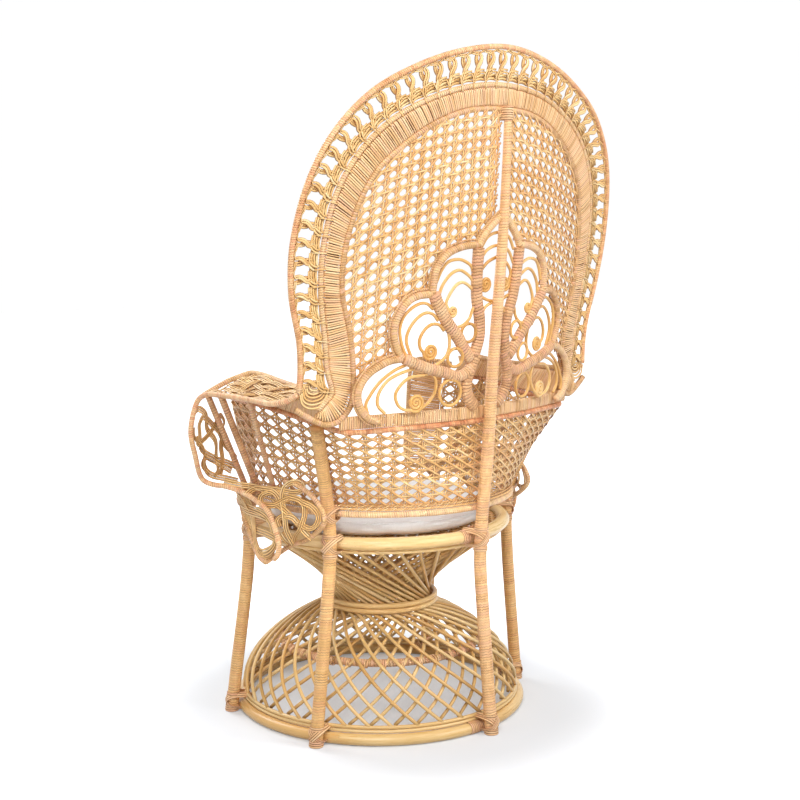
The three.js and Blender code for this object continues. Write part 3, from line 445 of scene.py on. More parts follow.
# Seat deck: flat canes both ways, each over one and under the next.
deck = dict(radius=0.268, pitch=0.0165, wide=0.0150, thick=0.0016, wave=0.0016, height=0.4305, canes=15)
deckParts = []
for way in (0, 1):
    for k in range(-deck["canes"], deck["canes"] + 1):
        off = k * deck["pitch"]
        half = np.sqrt(deck["radius"] ** 2 - off**2)
        run = np.linspace(-half, half, max(8, int(half * 2 / deck["pitch"] * 3)))
        rise = deck["wave"] * np.cos(np.pi * run / deck["pitch"]) * (1 if (k + way) % 2 else -1)
        path = np.stack([run, np.full_like(run, off), deck["height"] + rise], 1)
        deckParts.append(strands(path[:, [1, 0, 2]] if way else path, upZ, deck["wide"], deck["thick"], 4))
makePiece("seatDeckWeave", deckParts, "weaveCane", ["seat_deck"])
print("base and seat made")

wall = dict(low=0.3038, lowHeight=0.497, top=(0.352, 0.3208), rear=0.688, rise=0.040, stakes=41, rows=8.7)
post = dict(wide=0.0282, tip=0.016, round=0.0152, runOn=3.4)
tie = dict(wide=0.0048, apart=0.0046, room=0.0016, over=0.0007, squareness=0.72, pitch=0.0047)
postNames = {"rear_centre_post": "rear_centre", "rear_side_post_left": "rear_side_left",
             "rear_side_post_right": "rear_side_right", "front_post_left": "front_left",
             "front_post_right": "front_right"}


def postLine(node):
    # The middle of each level of a post, halfway between its outermost corners there.
    places = cornersOf(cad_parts[node].data).astype(float)
    levels, which = np.unique(np.round(places[:, 2], 4), return_inverse=True)
    low, high = np.full((len(levels), 2), 9.0), np.full((len(levels), 2), -9.0)
    np.minimum.at(low, which.ravel(), places[:, :2])
    np.maximum.at(high, which.ravel(), places[:, :2])
    line = resample(curveAt(np.column_stack([(low + high) / 2 - [0, axisBack], levels]), np.linspace(0, 1, 200)), 90)
    if "rear_side" in node:
        # The CAD's post stops under the rail; the wound one runs up beside it.
        line = np.vstack([line, line[-1] + (line[-1] - line[-2]) * post["runOn"]])
    return line


def crossTies(middle, inner, up, thick):
    # Cross lashing: tilted ovals both ways round a post and the ring inside it, together.
    out = outward(middle)
    along = np.cross(upZ, out)
    outer = np.hypot(middle[0], middle[1]) + post["wide"] / 2
    shifts = (np.arange(3) - 1)[:, None] * tie["apart"]
    return [caneLoops(out * (inner + outer) / 2 + upZ * middle[2] + unit(along - upZ * lean) * shifts, out,
                      unit(along * lean + upZ), (outer - inner) / 2 + tie["room"] + tie["over"] * lean, up,
                      tie["wide"], thick, 20, tie["squareness"]) for lean in (-1, 1)]


for node, name in postNames.items():
    line = postLine(node)
    # Every post but the centre one takes the post cane's darker copy, which is painted shade.
    wide, finish = np.full(len(line), post["wide"]), "sidePostShadedCane"
    if name == "rear_centre":
        wide = post["wide"] + (post["tip"] - post["wide"]) * np.linspace(0, 1, len(line)) ** 3
        finish = "postCane"
    makePiece(name + "Post", [strands(line, outward(line), wide, None, 16)], finish, [node])
    at = lambda h: np.append(readAt(h, line[:, 2], line[:, :2]), h)
    parts = crossTies(at(0.0245), base["ring"] - 0.0145, 0.0215, 0.0020)
    parts += crossTies(at(base["seatHeight"]), base["seat"] - 0.016, 0.0235, 0.0020)
    # Level turns lie above and below each lashing: the lowest one's height, and how many.
    for low, count in ((0.0025, 3), (0.0375, 2), (0.405, 2), (0.448, 2)):
        rounds = np.stack([at(low + tie["pitch"] * k) for k in range(count)])
        parts.append(caneLoops(rounds, [1, 0, 0], [0, 1, 0], post["round"], post["round"], 0.0046, 0.0018, 18))
    makePiece(name + "Lashings", parts, "tieCane", ["foot_lashing_" + name, "seat_lashing_" + name])
    if name == "rear_centre":
        topAt = readAt(1.330, line[:, 2], line[:, :2])
    else:
        rimTies = crossTies(at(wall["lowHeight"] + 0.0015), wall["low"] - 0.0065, 0.022, 0.0018)
        makePiece(name + "RimTies", rimTies, "tieCane", ())
# The centre post's top is bound to the inner rim by turns that pass round both.
middles = np.column_stack([np.tile(topAt - [0, 0.0075], (6, 1)), 1.318 + 0.0048 * np.arange(6)])
makePiece("rearCentreTopTies", [caneLoops(middles, [1, 0, 0], [0, 1, 0], 0.0105, 0.0165, 0.0049, 0.0018, 20, 0.75)],
          "tieCane", ())
# Splices: turns of cane round the seat ring and the base ring where their ends meet.
splices = []
for radius, height, wide, high, turn, count in ((base["seat"], base["seatHeight"], 0.0335, 0.0292, 3.3, 6),
                                                (base["ring"], 0.0134, 0.0305, 0.0262, 3.9, 8)):
    turns = turn + (np.arange(count) - (count - 1) / 2) * np.degrees(tie["pitch"] / radius)
    middles, out = polar(radius, turns, height), polar(1.0, turns, 0.0)
    splices.append(caneLoops(middles, out, upZ, wide / 2, high / 2, tie["wide"]))
makePiece("ringSplices", splices, "tieCane", ())
print("posts made")


def stakeWeave(place, columns, rows, look, inside=None):
    # Stakes stand in pairs at each whole column. In each row two canes part round a hole and cross at the next
    # stakes: v = row + half + open asin(point sin(pi u)) / asin(point), and the other with the sign turned over.
    # A straight cane lies between rows. place(u, v, lift) maps columns, rows and a lift to points and facings.
    parts = []
    (u0, u1), (v0, v1), lift = columns, rows, look["lift"]

    def lay(u, v, lift, aside, wide):
        middle, face = place(u, v, lift)
        keep = np.ones(len(u), bool) if inside is None else inside(middle)
        edges = np.flatnonzero(np.diff(np.concatenate([[0], keep.astype(int), [0]])))
        middle = middle + np.cross(unit(np.gradient(middle, axis=0)), face) * aside
        for a, b in zip(edges[::2], edges[1::2]):
            if b - a > 3:
                parts.append(strands(middle[a:b], face[a:b], wide * dice.uniform(0.9, 1.06), look["thick"], 4))

    v = np.arange(v0, v1 + 1e-6, 1 / 4)
    for c in range(int(np.ceil(u0)), int(np.floor(u1)) + 1):
        for aside in (-1, 1):
            lay(np.full_like(v, c), v, aside * lift * 0.5 * np.sin(wholeTurn * v), aside * look["stakeApart"] / 2,
                look["stake"])
    u = np.arange(u0, u1 + 1e-6, 1 / 9)
    swell = look["open"] * np.arcsin(look["point"] * np.sin(np.pi * u)) / np.arcsin(look["point"])
    for r in range(int(np.floor(v0)), int(np.ceil(v1))):
        for way in (1, -1):
            lay(u, r + 0.5 + way * swell, way * lift * np.cos(np.pi * u), 0.0, look["arch"])
    u = np.arange(u0, u1 + 1e-6, 1 / 4)
    for r in range(int(np.ceil(v0)), int(np.floor(v1)) + 1):
        lay(u, np.full_like(u, r), -0.7 * lift * np.cos(np.pi * (u + r)), 0.0, look["between"])
    return parts


# The rail's half outline in shares of its width and depth, and how far it has risen at each place.
wallPlan = np.array([[0, 100], [27, 98], [49, 94], [75, 87.5], [95, 81], [100, 71], [99, 56], [98, 40], [100, 22],
                     [103, 4], [101, -18], [96, -36]]) / 100
wallRises = np.array([0, 0, 0, 0, 0.02, 0.18, 0.3, 0.45, 0.7, 0.95, 1, 1])
wallSide = np.column_stack([wallPlan * wall["top"], wall["rear"] + wall["rise"] * wallRises])
wallTop = np.vstack([(wallSide * [-1, 1, 1])[:0:-1], wallSide])


def wallLow(top, height):
    a = np.arctan2(top[:, 0], top[:, 1])
    return np.column_stack([wall["low"] * np.sin(a), wall["low"] * np.cos(a), np.full(len(a), height)])


topLine = resample(curveAt(wallTop, np.linspace(0, 1, 900)), 400)
lowLine = wallLow(topLine, wall["lowHeight"])
wallOut = outward(topLine)
makePiece("wallTopRail", [strands(topLine, wallOut, 0.0115, None, 10)], "railCane", ["wall_top_rail"])
makePiece("wallLowerRim", [strands(lowLine, wallOut, 0.0135, None, 10)], "paleRimCane", ["wall_lower_rim"])
# Two twists of round cane lie on the lower rim.
twists = (dict(up=0.0110, radius=0.0021, pitch=0.019, plies=3, start=0.0, wide=0.0038),
          dict(up=0.0175, radius=0.0019, pitch=0.017, plies=2, start=1.0, wide=0.0036))
twistParts = []
for twist in twists:
    paths = twisted(lowLine + upZ * twist["up"], wallOut, twist["radius"], twist["pitch"], twist["plies"],
                    twist["start"])
    twistParts.append(strands(paths, wallOut, twist["wide"], None, 5))
makePiece("wallTwists", twistParts, "wallCane", ["wall_lower_trim"])


def wallPlace(u, v, lift):
    # From the lower rim up to the rail, at an even share of the rail's length for each stake.
    share, k = u / wall["stakes"] * (len(topLine) - 1), np.arange(len(topLine))
    top = readAt(share, k, topLine)
    low = wallLow(top, wall["lowHeight"] + 0.021)
    top[:, 2] -= 0.005
    face = unit(np.cross(readAt(share, k, np.gradient(topLine, axis=0)), top - low))
    face = np.where(((face * top * [1, 1, 0]).sum(1) < 0)[:, None], -face, face)
    return low + (top - low) * (v / wall["rows"])[:, None] + face * lift[:, None], face


wallLook = dict(stake=0.0052, stakeApart=0.0048, arch=0.0066, open=0.455, point=0.96, between=0.0060, thick=0.0018,
                lift=0.0018)
wallParts = stakeWeave(wallPlace, (0, wall["stakes"]), (0, wall["rows"]), wallLook)
makePiece("wallWeave", wallParts, "wallCane", ["wall_weave"])
print("wall made")

fan = dict(half=0.478, foot=0.700, high=0.761, bulge=0.011, fieldHalf=0.361, fieldFoot=0.800, fieldHigh=0.661)


def fanBack(x, z):
    # Depth of the fan: a sum of bends in the squares of width and height.
    w, h = (x / fan["half"]) ** 2, (z - 1.050) / 0.416
    return (348.2 + 34.5 * h + 3.6 * h**2 - 150.1 * w + 39.5 * w * h + 66.7 * w**2 + 41.1 * w * h**2) / 1000


def fieldBack(x, z):
    # The field stands back from the fan by a bulge that falls to none at its sides and its top.
    over = np.maximum(0, (z - fan["fieldFoot"]) / fan["fieldHigh"])
    bulge = (1 - np.minimum(1, (x / fan["fieldHalf"]) ** 2)) * np.maximum(0, 1 - over**2)
    return fanBack(x, z) + fan["bulge"] * bulge


def onFan(places, lift=0.0, back=fanBack):
    x, z, e = places[..., 0], places[..., 1], 0.001
    y = back(x, z)
    face = unit(np.stack([-(back(x + e, z) - y) / e, np.ones_like(x), -(back(x, z + e) - y) / e], -1))
    return np.stack([x, y, z], -1) + face * np.asarray(lift)[..., None], face


def rimPlaces(thousandths):
    # Both sides of a rim, from thousandths of the fan's half width and height.
    side = np.array(thousandths) / 1000 * [fan["half"], fan["high"]] + [0, fan["foot"]]
    return np.vstack([(side * [-1, 1])[:0:-1], side])


def withFoot(places, foot):
    # The rim runs on round the fan's foot at both ends.
    foot = np.array(foot) / 1000
    return np.vstack([(foot * [-1, 1])[::-1], places[1:-1], foot])


outerRim = rimPlaces([[0, 1000], [262, 978], [508, 926], [722, 851], [877, 746], [962, 628], [1000, 476], [983, 348],
                      [933, 227], [923, 151], [927, 102]])
plainMid = rimPlaces([[0, 901], [234, 886], [435, 846], [607, 787], [736, 706], [818, 607], [854, 473], [849, 361],
                      [814, 219], [803, 158], [782, 95]])
plainInner = rimPlaces([[0, 838], [211, 827], [377, 791], [525, 732], [646, 661], [720, 565], [755, 460], [753, 355],
                        [703, 237], [684, 145], [676, 75]])
innerFoot = [(326, 758), (333, 737), (346, 721), (363, 710), (385, 709), (406, 717)]
midRim = withFoot(plainMid, [(371, 772), (374, 766), (379, 760), (386, 753), (393, 746), (399, 738)])
for name, places, wide, count, finish in (
        ("Outer", outerRim, 0.0115, 300, "rimCane"), ("Mid", midRim, 0.0112, 300, "paleRimCane"),
        ("Inner", withFoot(plainInner, innerFoot + [(429, 729), (449, 742)]), 0.0125, 320, "paleRimCane")):
    line, face = onFan(resample(curveAt(places, np.linspace(0, 1, 900)), count))
    makePiece(f"fan{name}Rim", [strands(line, face, wide, None, 10)], finish, [f"fan_{name.lower()}_rim"])


def stations(first, second, count):
    # Places on two rims at the same shares, spaced evenly along the line halfway between them.
    t = np.linspace(0, 1, 1500)
    reach = reachOf((curveAt(first, t) + curveAt(second, t)) / 2)
    at = np.interp(np.linspace(0, reach[-1], count), reach, t)
    return curveAt(first, at), curveAt(second, at), reach[-1]


def windBand(a, b, face, room, depth, wide):
    # Turns of cane laid side by side across a band: flat ovals from one edge to the other and back.
    # A loose turn is narrower at its middle, which leaves a dark slit beside it.
    count, jitter, loose = 16, 0.0009, 0.10
    span = np.linalg.norm(b - a, axis=1)
    across = unit(b - a)
    along = np.cross(face, across)
    skew = dice.normal(0, jitter, (len(a), 1))
    middles = (a + b) / 2 + along * dice.normal(0, jitter * 0.25, (len(a), 1))
    deep = depth / 2 * dice.uniform(0.93, 1.07, len(a))
    slack = np.where(dice.random(len(a)) < loose, dice.uniform(0.2, 0.55, len(a)), 0.04)
    widths = wide * (1 - slack[:, None] * np.sin(wholeTurn * np.arange(count) / count) ** 2)
    across = unit(across + along * skew * 10)
    return caneLoops(middles, across, face, span / 2 - room, deep, widths, 0.0017, count, 0.55)


def bandCore(a, b, face, room, thick):
    # A dull core fills the band between its turns.
    return strands(((a + b) / 2)[::3], face[::3], np.linalg.norm(b - a, axis=1)[::3] - room, thick, 4)


band = dict(pitch=0.0047, room=0.0062, depth=0.0105, overlap=1.03, coreRoom=0.014, core=0.0070)
bandRims = withFoot(plainInner, innerFoot), midRim
bandReach = stations(*bandRims, 3)[2]
bandCount = int(round(bandReach / band["pitch"])) + 1
bandA, bandB, _ = stations(*bandRims, bandCount)
(bandA, bandFace), (bandB, _) = onFan(bandA), onFan(bandB)
bandWide = bandReach / (bandCount - 1) * band["overlap"]
makePiece("fanBand", [windBand(bandA, bandB, bandFace, band["room"], band["depth"], bandWide)], "bandCane",
          ["fan_band"])
makePiece("fanBandCore", [bandCore(bandA, bandB, bandFace, band["coreRoom"], band["core"])], "coreCane", ())

# Lace: leaning two-ply leaves between the rims, over a braided strip that lies along the mid rim.
lace = dict(links=54, places=1600, thick=0.0018, aspect=0.07)
laceA, laceB, laceReach = stations(plainMid, outerRim, lace["places"])
lacePitch = laceReach / lace["links"]


def lacePlace(along, radial, lift):
    # along is in metres from the first link, radial a share from the mid rim to the outer one.
    share, k = np.clip(along / laceReach, 0, 1) * (lace["places"] - 1), np.arange(lace["places"])
    a, b = readAt(share, k, laceA), readAt(share, k, laceB)
    return onFan(a + (b - a) * radial[..., None], lift)


def laceRun(table, plies, apart, lift, wide, thick=lace["thick"], count=14, leaf=False):
    # One link's canes laid at every link, from places in hundredths of a link along, hundredths of the way
    # across, and tenths of a millimetre up. A leaf tapers to both its ends.
    shape = evenly(np.array(table) / [100, 100, 10000] * [lacePitch, 1, 1], count)
    ahead = unit(np.gradient(shape[:, :2] * [1, lace["aspect"]], axis=0))
    widths = wide * (0.45 + 0.55 * np.sin(np.pi * np.linspace(0, 1, count)) ** 0.7) if leaf else np.full(count, wide)
    for k in range(plies):
        off = (k - (plies - 1) / 2) * apart
        along = (np.arange(lace["links"]) + 0.5)[:, None] * lacePitch + (shape[:, 0] - off * ahead[:, 1])[None]
        along = along + dice.normal(0, 0.0006, (lace["links"], 1))
        radial = np.broadcast_to((shape[:, 1] + off * ahead[:, 0] / lace["aspect"])[None], along.shape)
        line, face = lacePlace(along, radial, np.broadcast_to(shape[None, :, 2] + lift, along.shape))
        laceParts.append(strands(line, face, np.broadcast_to(widths, along.shape), thick, 6 if leaf else 4))


laceParts = []
for leaf in ([(-18, 86, -10), (-22, 74, 30), (-10, 61, 45), (9, 49, 30), (12, 34, -10)],
             [(5, 86, 10), (8, 75, -10), (3, 62, -20), (-7, 49, -10), (-6, 34, 20)]):
    laceRun(leaf, 2, 0.0046, 0, wide=0.00688, thick=0.0040, count=12, leaf=True)
for run in (
        ([(-12, 83, 10), (-26, 88, 15), (-44, 92, 20), (-52, 100, 50)], 1, 0, 0, 0.0042),
        ([(-2, 83, 10), (16, 86, 15), (36, 89, 10), (47, 93, 0)], 2, 0.0036, 0, 0.0038),
        ([(-50, 33, 10), (-20, 34, 15), (10, 28, 10), (38, 16, -10)], 3, 0.0050, 0.0004, 0.0052),
        ([(-54, 17, -10), (-20, 21, 0), (12, 20, 10), (42, 13, 0)], 2, 0.0054, 0.001, 0.0056),
        ([(6, 40, -10), (20, 36, 15), (34, 27, 20), (42, 15, 10)], 2, 0.0050, 0.0014, 0.0052),
        ([(50, 37, 0), (49, 24, 40), (49, 8, 45), (50, -3, 68), (50, -10, 62)], 1, 0, 0, 0.0034, 0.0014, 10)):
    laceRun(*run)
# Long canes run through the links: the share of the way across, the lift and the width of each.
along = np.linspace(0.003, laceReach - 0.003, 420)
for radial, lift, wide in ((0.135, -0.0015, 0.0050), (0.20, -0.002, 0.0066), (0.27, -0.002, 0.0066),
                           (0.33, -0.002, 0.0050), (0.885, -0.0005, 0.0042)):
    wave = 0.010 * np.sin(wholeTurn * along / lacePitch + radial * 40)
    line, face = lacePlace(along, radial + wave, np.full_like(along, lift))
    laceParts.append(strands(line, face, wide, 0.0017, 4))
# At its foot the lace ends in a cup of canes that run from the outer rim round to the band.
cup = np.array([(441, 772), (436, 753), (421, 744), (403, 744), (386, 751), (378, 764), (374, 778)]) / 1000
cupHeart = np.array([0.408, 0.775])
for off, lift in ((0.0, 0.002), (0.0055, 0.0), (0.011, -0.001), (0.0165, -0.001), (0.022, -0.0015), (0.028, 0.0),
                  (0.034, 0.001)):
    shrunk = (cup - cupHeart) * (1 - off / 0.045) + cupHeart + [0, off * 0.55]
    for side in (1, -1):
        line, face = onFan(evenly(shrunk * [side, 1], 24), np.full(24, lift))
        laceParts.append(strands(line, face, 0.0056, 0.0024, 6))
makePiece("fanLace", laceParts, "laceCane", ["fan_lace"])
print("fan rims, band and lace made")

# Tail motif: places across and up the fan in millimetres.
tail = dict(outline=0.0155, thin=0.0050, room=0.0106, loop=0.0068, spoke=(0.028, 0.019), outlineLift=0.018,
            loopLift=(0.015, 0.0145, 0.0145), centreLift=0.012)
mainLobes = [
    [(-1, 1125), (26, 1104), (51, 1080), (64, 1060)],
    [(64, 1060), (82, 1061), (113, 1056), (142, 1044), (161, 1025), (170, 1004), (172, 985), (174, 963)],
    [(174, 963), (209, 959), (229, 948), (246, 924), (255, 901), (254, 877), (245, 852), (234, 834)],
    [(234, 834), (261, 831), (282, 822), (304, 809), (320, 790), (328, 766), (322, 740), (304, 718), (278, 708)]]
spokeLines = [
    ([(52, 830), (42, 870), (46, 910), (58, 950), (64, 1000), (66, 1055)], 1.0),
    ([(62, 825), (85, 850), (100, 870), (130, 900), (152, 930), (166, 950), (172, 964)], 1.0),
    ([(58, 810), (75, 795), (100, 790), (130, 800), (170, 810), (200, 820), (232, 834)], 0.86),
    ([(50, 835), (62, 810), (70, 785), (70, 760), (58, 738), (42, 722)], 1.0)]
loopLines = [
    [(74, 1006), (80, 1018), (100, 1029), (115, 1032), (140, 1027), (155, 1010), (166, 985)],
    [(68, 975), (75, 990), (90, 1002), (110, 1010), (130, 1003), (150, 980), (158, 955)],
    [(60, 945), (68, 928), (75, 910), (90, 897), (110, 893), (126, 900)],
    [(170, 932), (182, 942), (195, 945), (215, 938), (235, 920), (243, 895), (238, 866), (226, 838)],
    [(156, 908), (168, 921), (185, 925), (205, 915), (222, 893), (227, 870), (214, 836)],
    [(128, 882), (124, 865), (124, 850), (130, 835), (145, 822), (158, 816)],
    [(215, 824), (230, 819), (250, 811), (280, 790), (300, 765), (310, 745), (306, 727)],
    [(195, 813), (215, 810), (240, 803), (265, 790), (283, 765), (284, 742), (268, 724)],
    [(160, 796), (153, 783), (152, 768), (160, 750), (175, 735), (195, 722)]]
curlLines = [
    ([(62, 955), (75, 972), (100, 985), (115, 980), (130, 962), (138, 942)], (121, 926), 12.5, 1.75),
    ([(140, 887), (152, 899), (170, 901), (187, 890), (197, 870), (194, 853)], (170, 845), 16.5, 2.3),
    ([(172, 800), (190, 797), (215, 794), (235, 780), (246, 760), (238, 738), (222, 728)], (198, 741), 18.5, 2.5)]
circleSpots = [(75, 880, 19), (107, 830, 19), (115, 757, 27)]
centreLoops = [
    [(-52, 1052), (-32, 1078), (0, 1087), (32, 1078), (52, 1052)],
    [(-55, 1022), (-33, 1050), (0, 1060), (33, 1050), (55, 1022)],
    [(-44, 955), (-20, 946), (0, 944), (20, 946), (44, 955)],
    [(-36, 915), (-26, 932), (0, 941), (26, 932), (36, 915)]]
centreCurl = ([(0, 1037), (30, 1024), (48, 1002)], (30, 980), 16.5, 2.3)


def curled(points, centre, radius, turns):
    # The line runs into a spiral whose radius falls evenly to the middle as it goes round clockwise.
    p, c = np.array(points, float), np.array(centre, float)
    start = np.arctan2(p[-1, 1] - c[1], p[-1, 0] - c[0]) - 0.35
    t = np.linspace(0, 1, int(12 * turns))
    a = start - wholeTurn * turns * t
    r = radius + (1.5 - radius) * t
    return np.vstack([p, c + np.column_stack([r * np.cos(a), r * np.sin(a)])])


def tailRod(points, lift, wide, thick=None, sides=8, count=40, fixed=True):
    # A rod straight behind the fan, further back than it by the lift, and its mirror image. The places were
    # taken on a sheet outlineLift behind the fan; a rod less far back is seen less far out.
    places = np.array(points, float) / 1000
    if fixed:
        places = places + [0.78 * (np.mean(lift) - tail["outlineLift"]), 0]
    line, face = onFan(evenly(places, count))
    lifts = np.interp(np.linspace(0, 1, count), np.linspace(0, 1, np.size(lift)), np.atleast_1d(lift))
    line = line + np.array([0, 1.0, 0]) * lifts[:, None]
    return [strands(line * [side, 1, 1], face * [side, 1, 1], wide, thick, sides) for side in (1, -1)]


def bothTails(name, rods, finish, nodes):
    for side, parts in zip(("left", "right"), zip(*rods)):
        makePiece(name + side.title(), parts, finish, [n + side for n in nodes])


outlines = [tailRod(lobe, tail["outlineLift"], tail["outline"], None, 12) for lobe in mainLobes]
# A thin rod lies along the outside of each lobe, at its room from the wound one.
for lobe, heart in zip(mainLobes, ((0, 1000), (100, 960), (180, 870), (220, 765))):
    line = evenly(lobe, 60)
    ahead = unit(np.gradient(line, axis=0))
    aside = np.column_stack([-ahead[:, 1], ahead[:, 0]])
    line = line + aside * tail["room"] * 1000 * np.sign(((line - heart) * aside).sum())
    outlines.append(tailRod(line[::3], tail["outlineLift"] - 0.003, tail["thin"]))
bothTails("tailOutline", outlines, "paleRimCane", ["tail_outline_"])
branches = []
for line, size in spokeLines:
    # The one that reaches the fan's foot sinks to it; the others rise to the outline.
    lift = (0.011, 0.010, 0.007, 0.005) if line[-1][1] < 730 else (0.011, 0.015, 0.019)
    branches.append(tailRod(line, lift, tail["spoke"][0] * size, tail["spoke"][1], 14))
bothTails("tailBranch", branches, "spokeCane", ["tail_branch_"])
loops = [tailRod(line, tail["loopLift"], tail["loop"], None, 8, 64) for line in loopLines]
loops += [tailRod(curled(*curl), tail["loopLift"], tail["loop"], None, 8, 120) for curl in curlLines]
a = np.linspace(0, wholeTurn, 28)
loops += [tailRod(np.column_stack([x + r * np.sin(a), z + r * np.cos(a)]), (0.016, 0.018), tail["loop"])
          for x, z, r in circleSpots]
bothTails("tailLoops", loops, "loopCane", [f"tail_loops_{lobe}_" for lobe in ("upper", "middle", "lower")])
centreParts = [tailRod(line, tail["centreLift"], tail["loop"], None, 8, 60, False)[0] for line in centreLoops]
centreParts += tailRod(curled(*centreCurl), tail["centreLift"], tail["loop"], None, 8, 110, False)
makePiece("tailLoopsCentre", centreParts, "loopCane", ["tail_loops_centre"])
print("tail motif made")


def insidePolygon(points, polygon):
    # Even-odd rule: a point is in where a level line from it crosses the edges an odd number of times.
    x, z = points[:, 0:1], points[:, 1:2]
    x0, z0 = polygon[:, 0], polygon[:, 1]
    x1, z1 = np.roll(x0, -1), np.roll(z0, -1)
    rise = np.where(z1 == z0, 1e-9, z1 - z0)
    return (((z0 > z) != (z1 > z)) & (x < x0 + (z - z0) / rise * (x1 - x0))).sum(1) % 2 == 1


# Field: the same weave, inside the inner rim and round the tail.
field = dict(inner=0.0325, column=0.0253, top=1.3240, row=0.0202, closer=0.000075, foot=0.712)
rimPolygon = curveAt(plainInner, np.linspace(0, 1, 240))
tailSide = np.vstack([[[0, 1.118]]] + [evenly(np.array(lobe) / 1000, 24) * [0.965, 1] for lobe in mainLobes]
                     + [[[0.315, 0.70]]])
tailPolygon = np.vstack([(tailSide * [-1, 1])[::-1], tailSide])
fieldLook = dict(stake=0.0066, stakeApart=0.0061, arch=0.0058, open=0.405, point=0.62, between=0.0056, thick=0.0019,
                 lift=0.0019)


def fieldPlace(side, u, v, lift):
    # Rows draw a little closer as they go down, and each arches over the middle.
    x = field["inner"] + u * field["column"]
    z = field["top"] - field["row"] * v - field["closer"] * v**2 - 0.09 * x - 0.39 * x**2
    return onFan(np.column_stack([side * x, z]), lift, fieldBack)


def fieldInside(points):
    places = points[:, [0, 2]]
    return insidePolygon(places, rimPolygon) & ~insidePolygon(places, tailPolygon) & (places[:, 1] > field["foot"])


fieldParts = []
for side in (1, -1):
    fieldParts += stakeWeave(partial(fieldPlace, side), (-0.9, 13.5), (-2, 28), fieldLook, fieldInside)
    # Three more stakes stand beside the centre post.
    for u in (-0.66, -0.46, -0.26):
        v = np.arange(-1, 12, 0.2)
        line, face = fieldPlace(side, np.full_like(v, u), v, 0.0012 * np.cos(np.pi * v + u * 15))
        keep = fieldInside(line)
        fieldParts.append(strands(line[keep], face[keep], 0.0046, 0.0017, 4))
makePiece("fanField", fieldParts, "weaveCane", ["fan_field"])

# Foot rail: upright turns of cane over a flat rail.
railX = np.linspace(-0.350, 0.350, 146)
(railLow, railFace), (railHigh, _) = (onFan(np.column_stack([railX, np.full_like(railX, z)]), -0.001)
                                      for z in (0.6945, 0.7205))
makePiece("fanFootRail", [windBand(railLow, railHigh, railFace, 0.0, 0.0085, 0.00495),
                          strands((railLow + railHigh)[::3] / 2, railFace[::3], 0.022, 0.005, 4)],
          "bandCane", ["fan_foot_rail"])
print("field made")

# Arms: most places are thousandths of the place where the fan's outer rim ends, the others millimetres.
rimEnd = onFan(outerRim[-1:])[0][0]


def ofRim(table):
    return np.array(table) / 1000 * rimEnd


armOuter = ofRim([
    [1000, 983, 992], [1016, 888, 974], [1038, 755, 965], [1038, 456, 967], [1034, 207, 968], [1027, 0, 967],
    [1020, -207, 963], [1025, -328, 943], [1067, -332, 864], [1038, -349, 793], [975, -407, 720], [943, -361, 706],
    [903, -249, 701], [869, -124, 691], [846, 50, 671], [846, 228, 646], [846, 324, 602], [846, 373, 563],
    [846, 349, 532], [846, 307, 520]])
armRail = ofRim([
    [837, 1025, 985], [824, 830, 990], [808, 573, 993], [767, 237, 999], [752, -75, 1010], [756, -207, 1011],
    [794, -257, 1003], [858, -274, 993], [914, -290, 980], [995, -315, 958]])
railTail = ofRim([[775, 1083, 964]])
podFront = ofRim([[840, 174, 503], [835, 79, 511], [812, -87, 549], [790, -237, 598], [781, -332, 658]])
podRear = ofRim([[840, 174, 503], [779, 191, 520], [729, 274, 545], [727, 523, 577], [731, 734, 637], [736, 631, 687],
                 [749, 394, 721], [754, 249, 723]])
struts = ofRim([[[1020, -191, 962], [736, -349, 684]], [[1027, 17, 966], [740, -141, 674]],
                [[1036, 432, 966], [740, 100, 674]]])
armHeart = ofRim([900, 100, 820])
arm = dict(rod=0.0115, podRod=0.0110, frontRod=0.0100, struts=(0.013, 0.0145, 0.0115), band=0.0105, bandRoom=0.0075,
           bandTurn=0.0058, coreRoom=0.016, core=0.006, frontBand=0.0095, frontTurn=0.0056)
bandInner = np.array([[264, -150, 768], [244, -155, 650], [249, -163, 512]]) / 1000
bandOuter = np.array([[336, -122, 745], [316, -115, 640], [286, -100, 512]]) / 1000
turnLow = np.array([[338, -112, 722], [322, -131, 722], [268, -150, 715]]) / 1000
turnHigh = np.array([[334, -90, 760], [316, -125, 766], [262, -150, 772]]) / 1000
bandFoot = np.array([[288, -92, 498], [275, -128, 500], [252, -160, 506]]) / 1000


def between(first, second, firstPart=(0.0, 1.0), secondPart=(0.0, 1.0)):
    # Straight lines from one curve to the other, at the same share of a part of each.
    def place(u, v, lift=0.0):
        at = lambda s: [curveAt(line, low + (high - low) * s)
                        for line, (low, high) in ((first, firstPart), (second, secondPart))]
        (a, b), (c, d), (g, h) = at(u), at(np.clip(u + 0.004, 0, 1)), at(np.clip(u - 0.004, 0, 1))
        face = unit(np.cross(c + d - g - h, b - a))
        return a + (b - a) * v[:, None] + face * np.broadcast_to(lift, u.shape)[:, None], face

    return place


def edgesOf(panel, count):
    # Both edges of a panel at even places along it, and its facing there.
    share = np.linspace(0, 1, count)
    low, face = panel(share, np.zeros(count))
    return low, panel(share, np.ones(count))[0], face


def sideBySide(line, side, face, plies, apart, wide, loop=False):
    offs = (np.arange(plies) - (plies - 1) / 2) * apart
    paths = line[None] + side[None] * offs[:, None, None]
    return strands(paths, np.broadcast_to(face, paths.shape), wide, 0.0019, 5, loop)


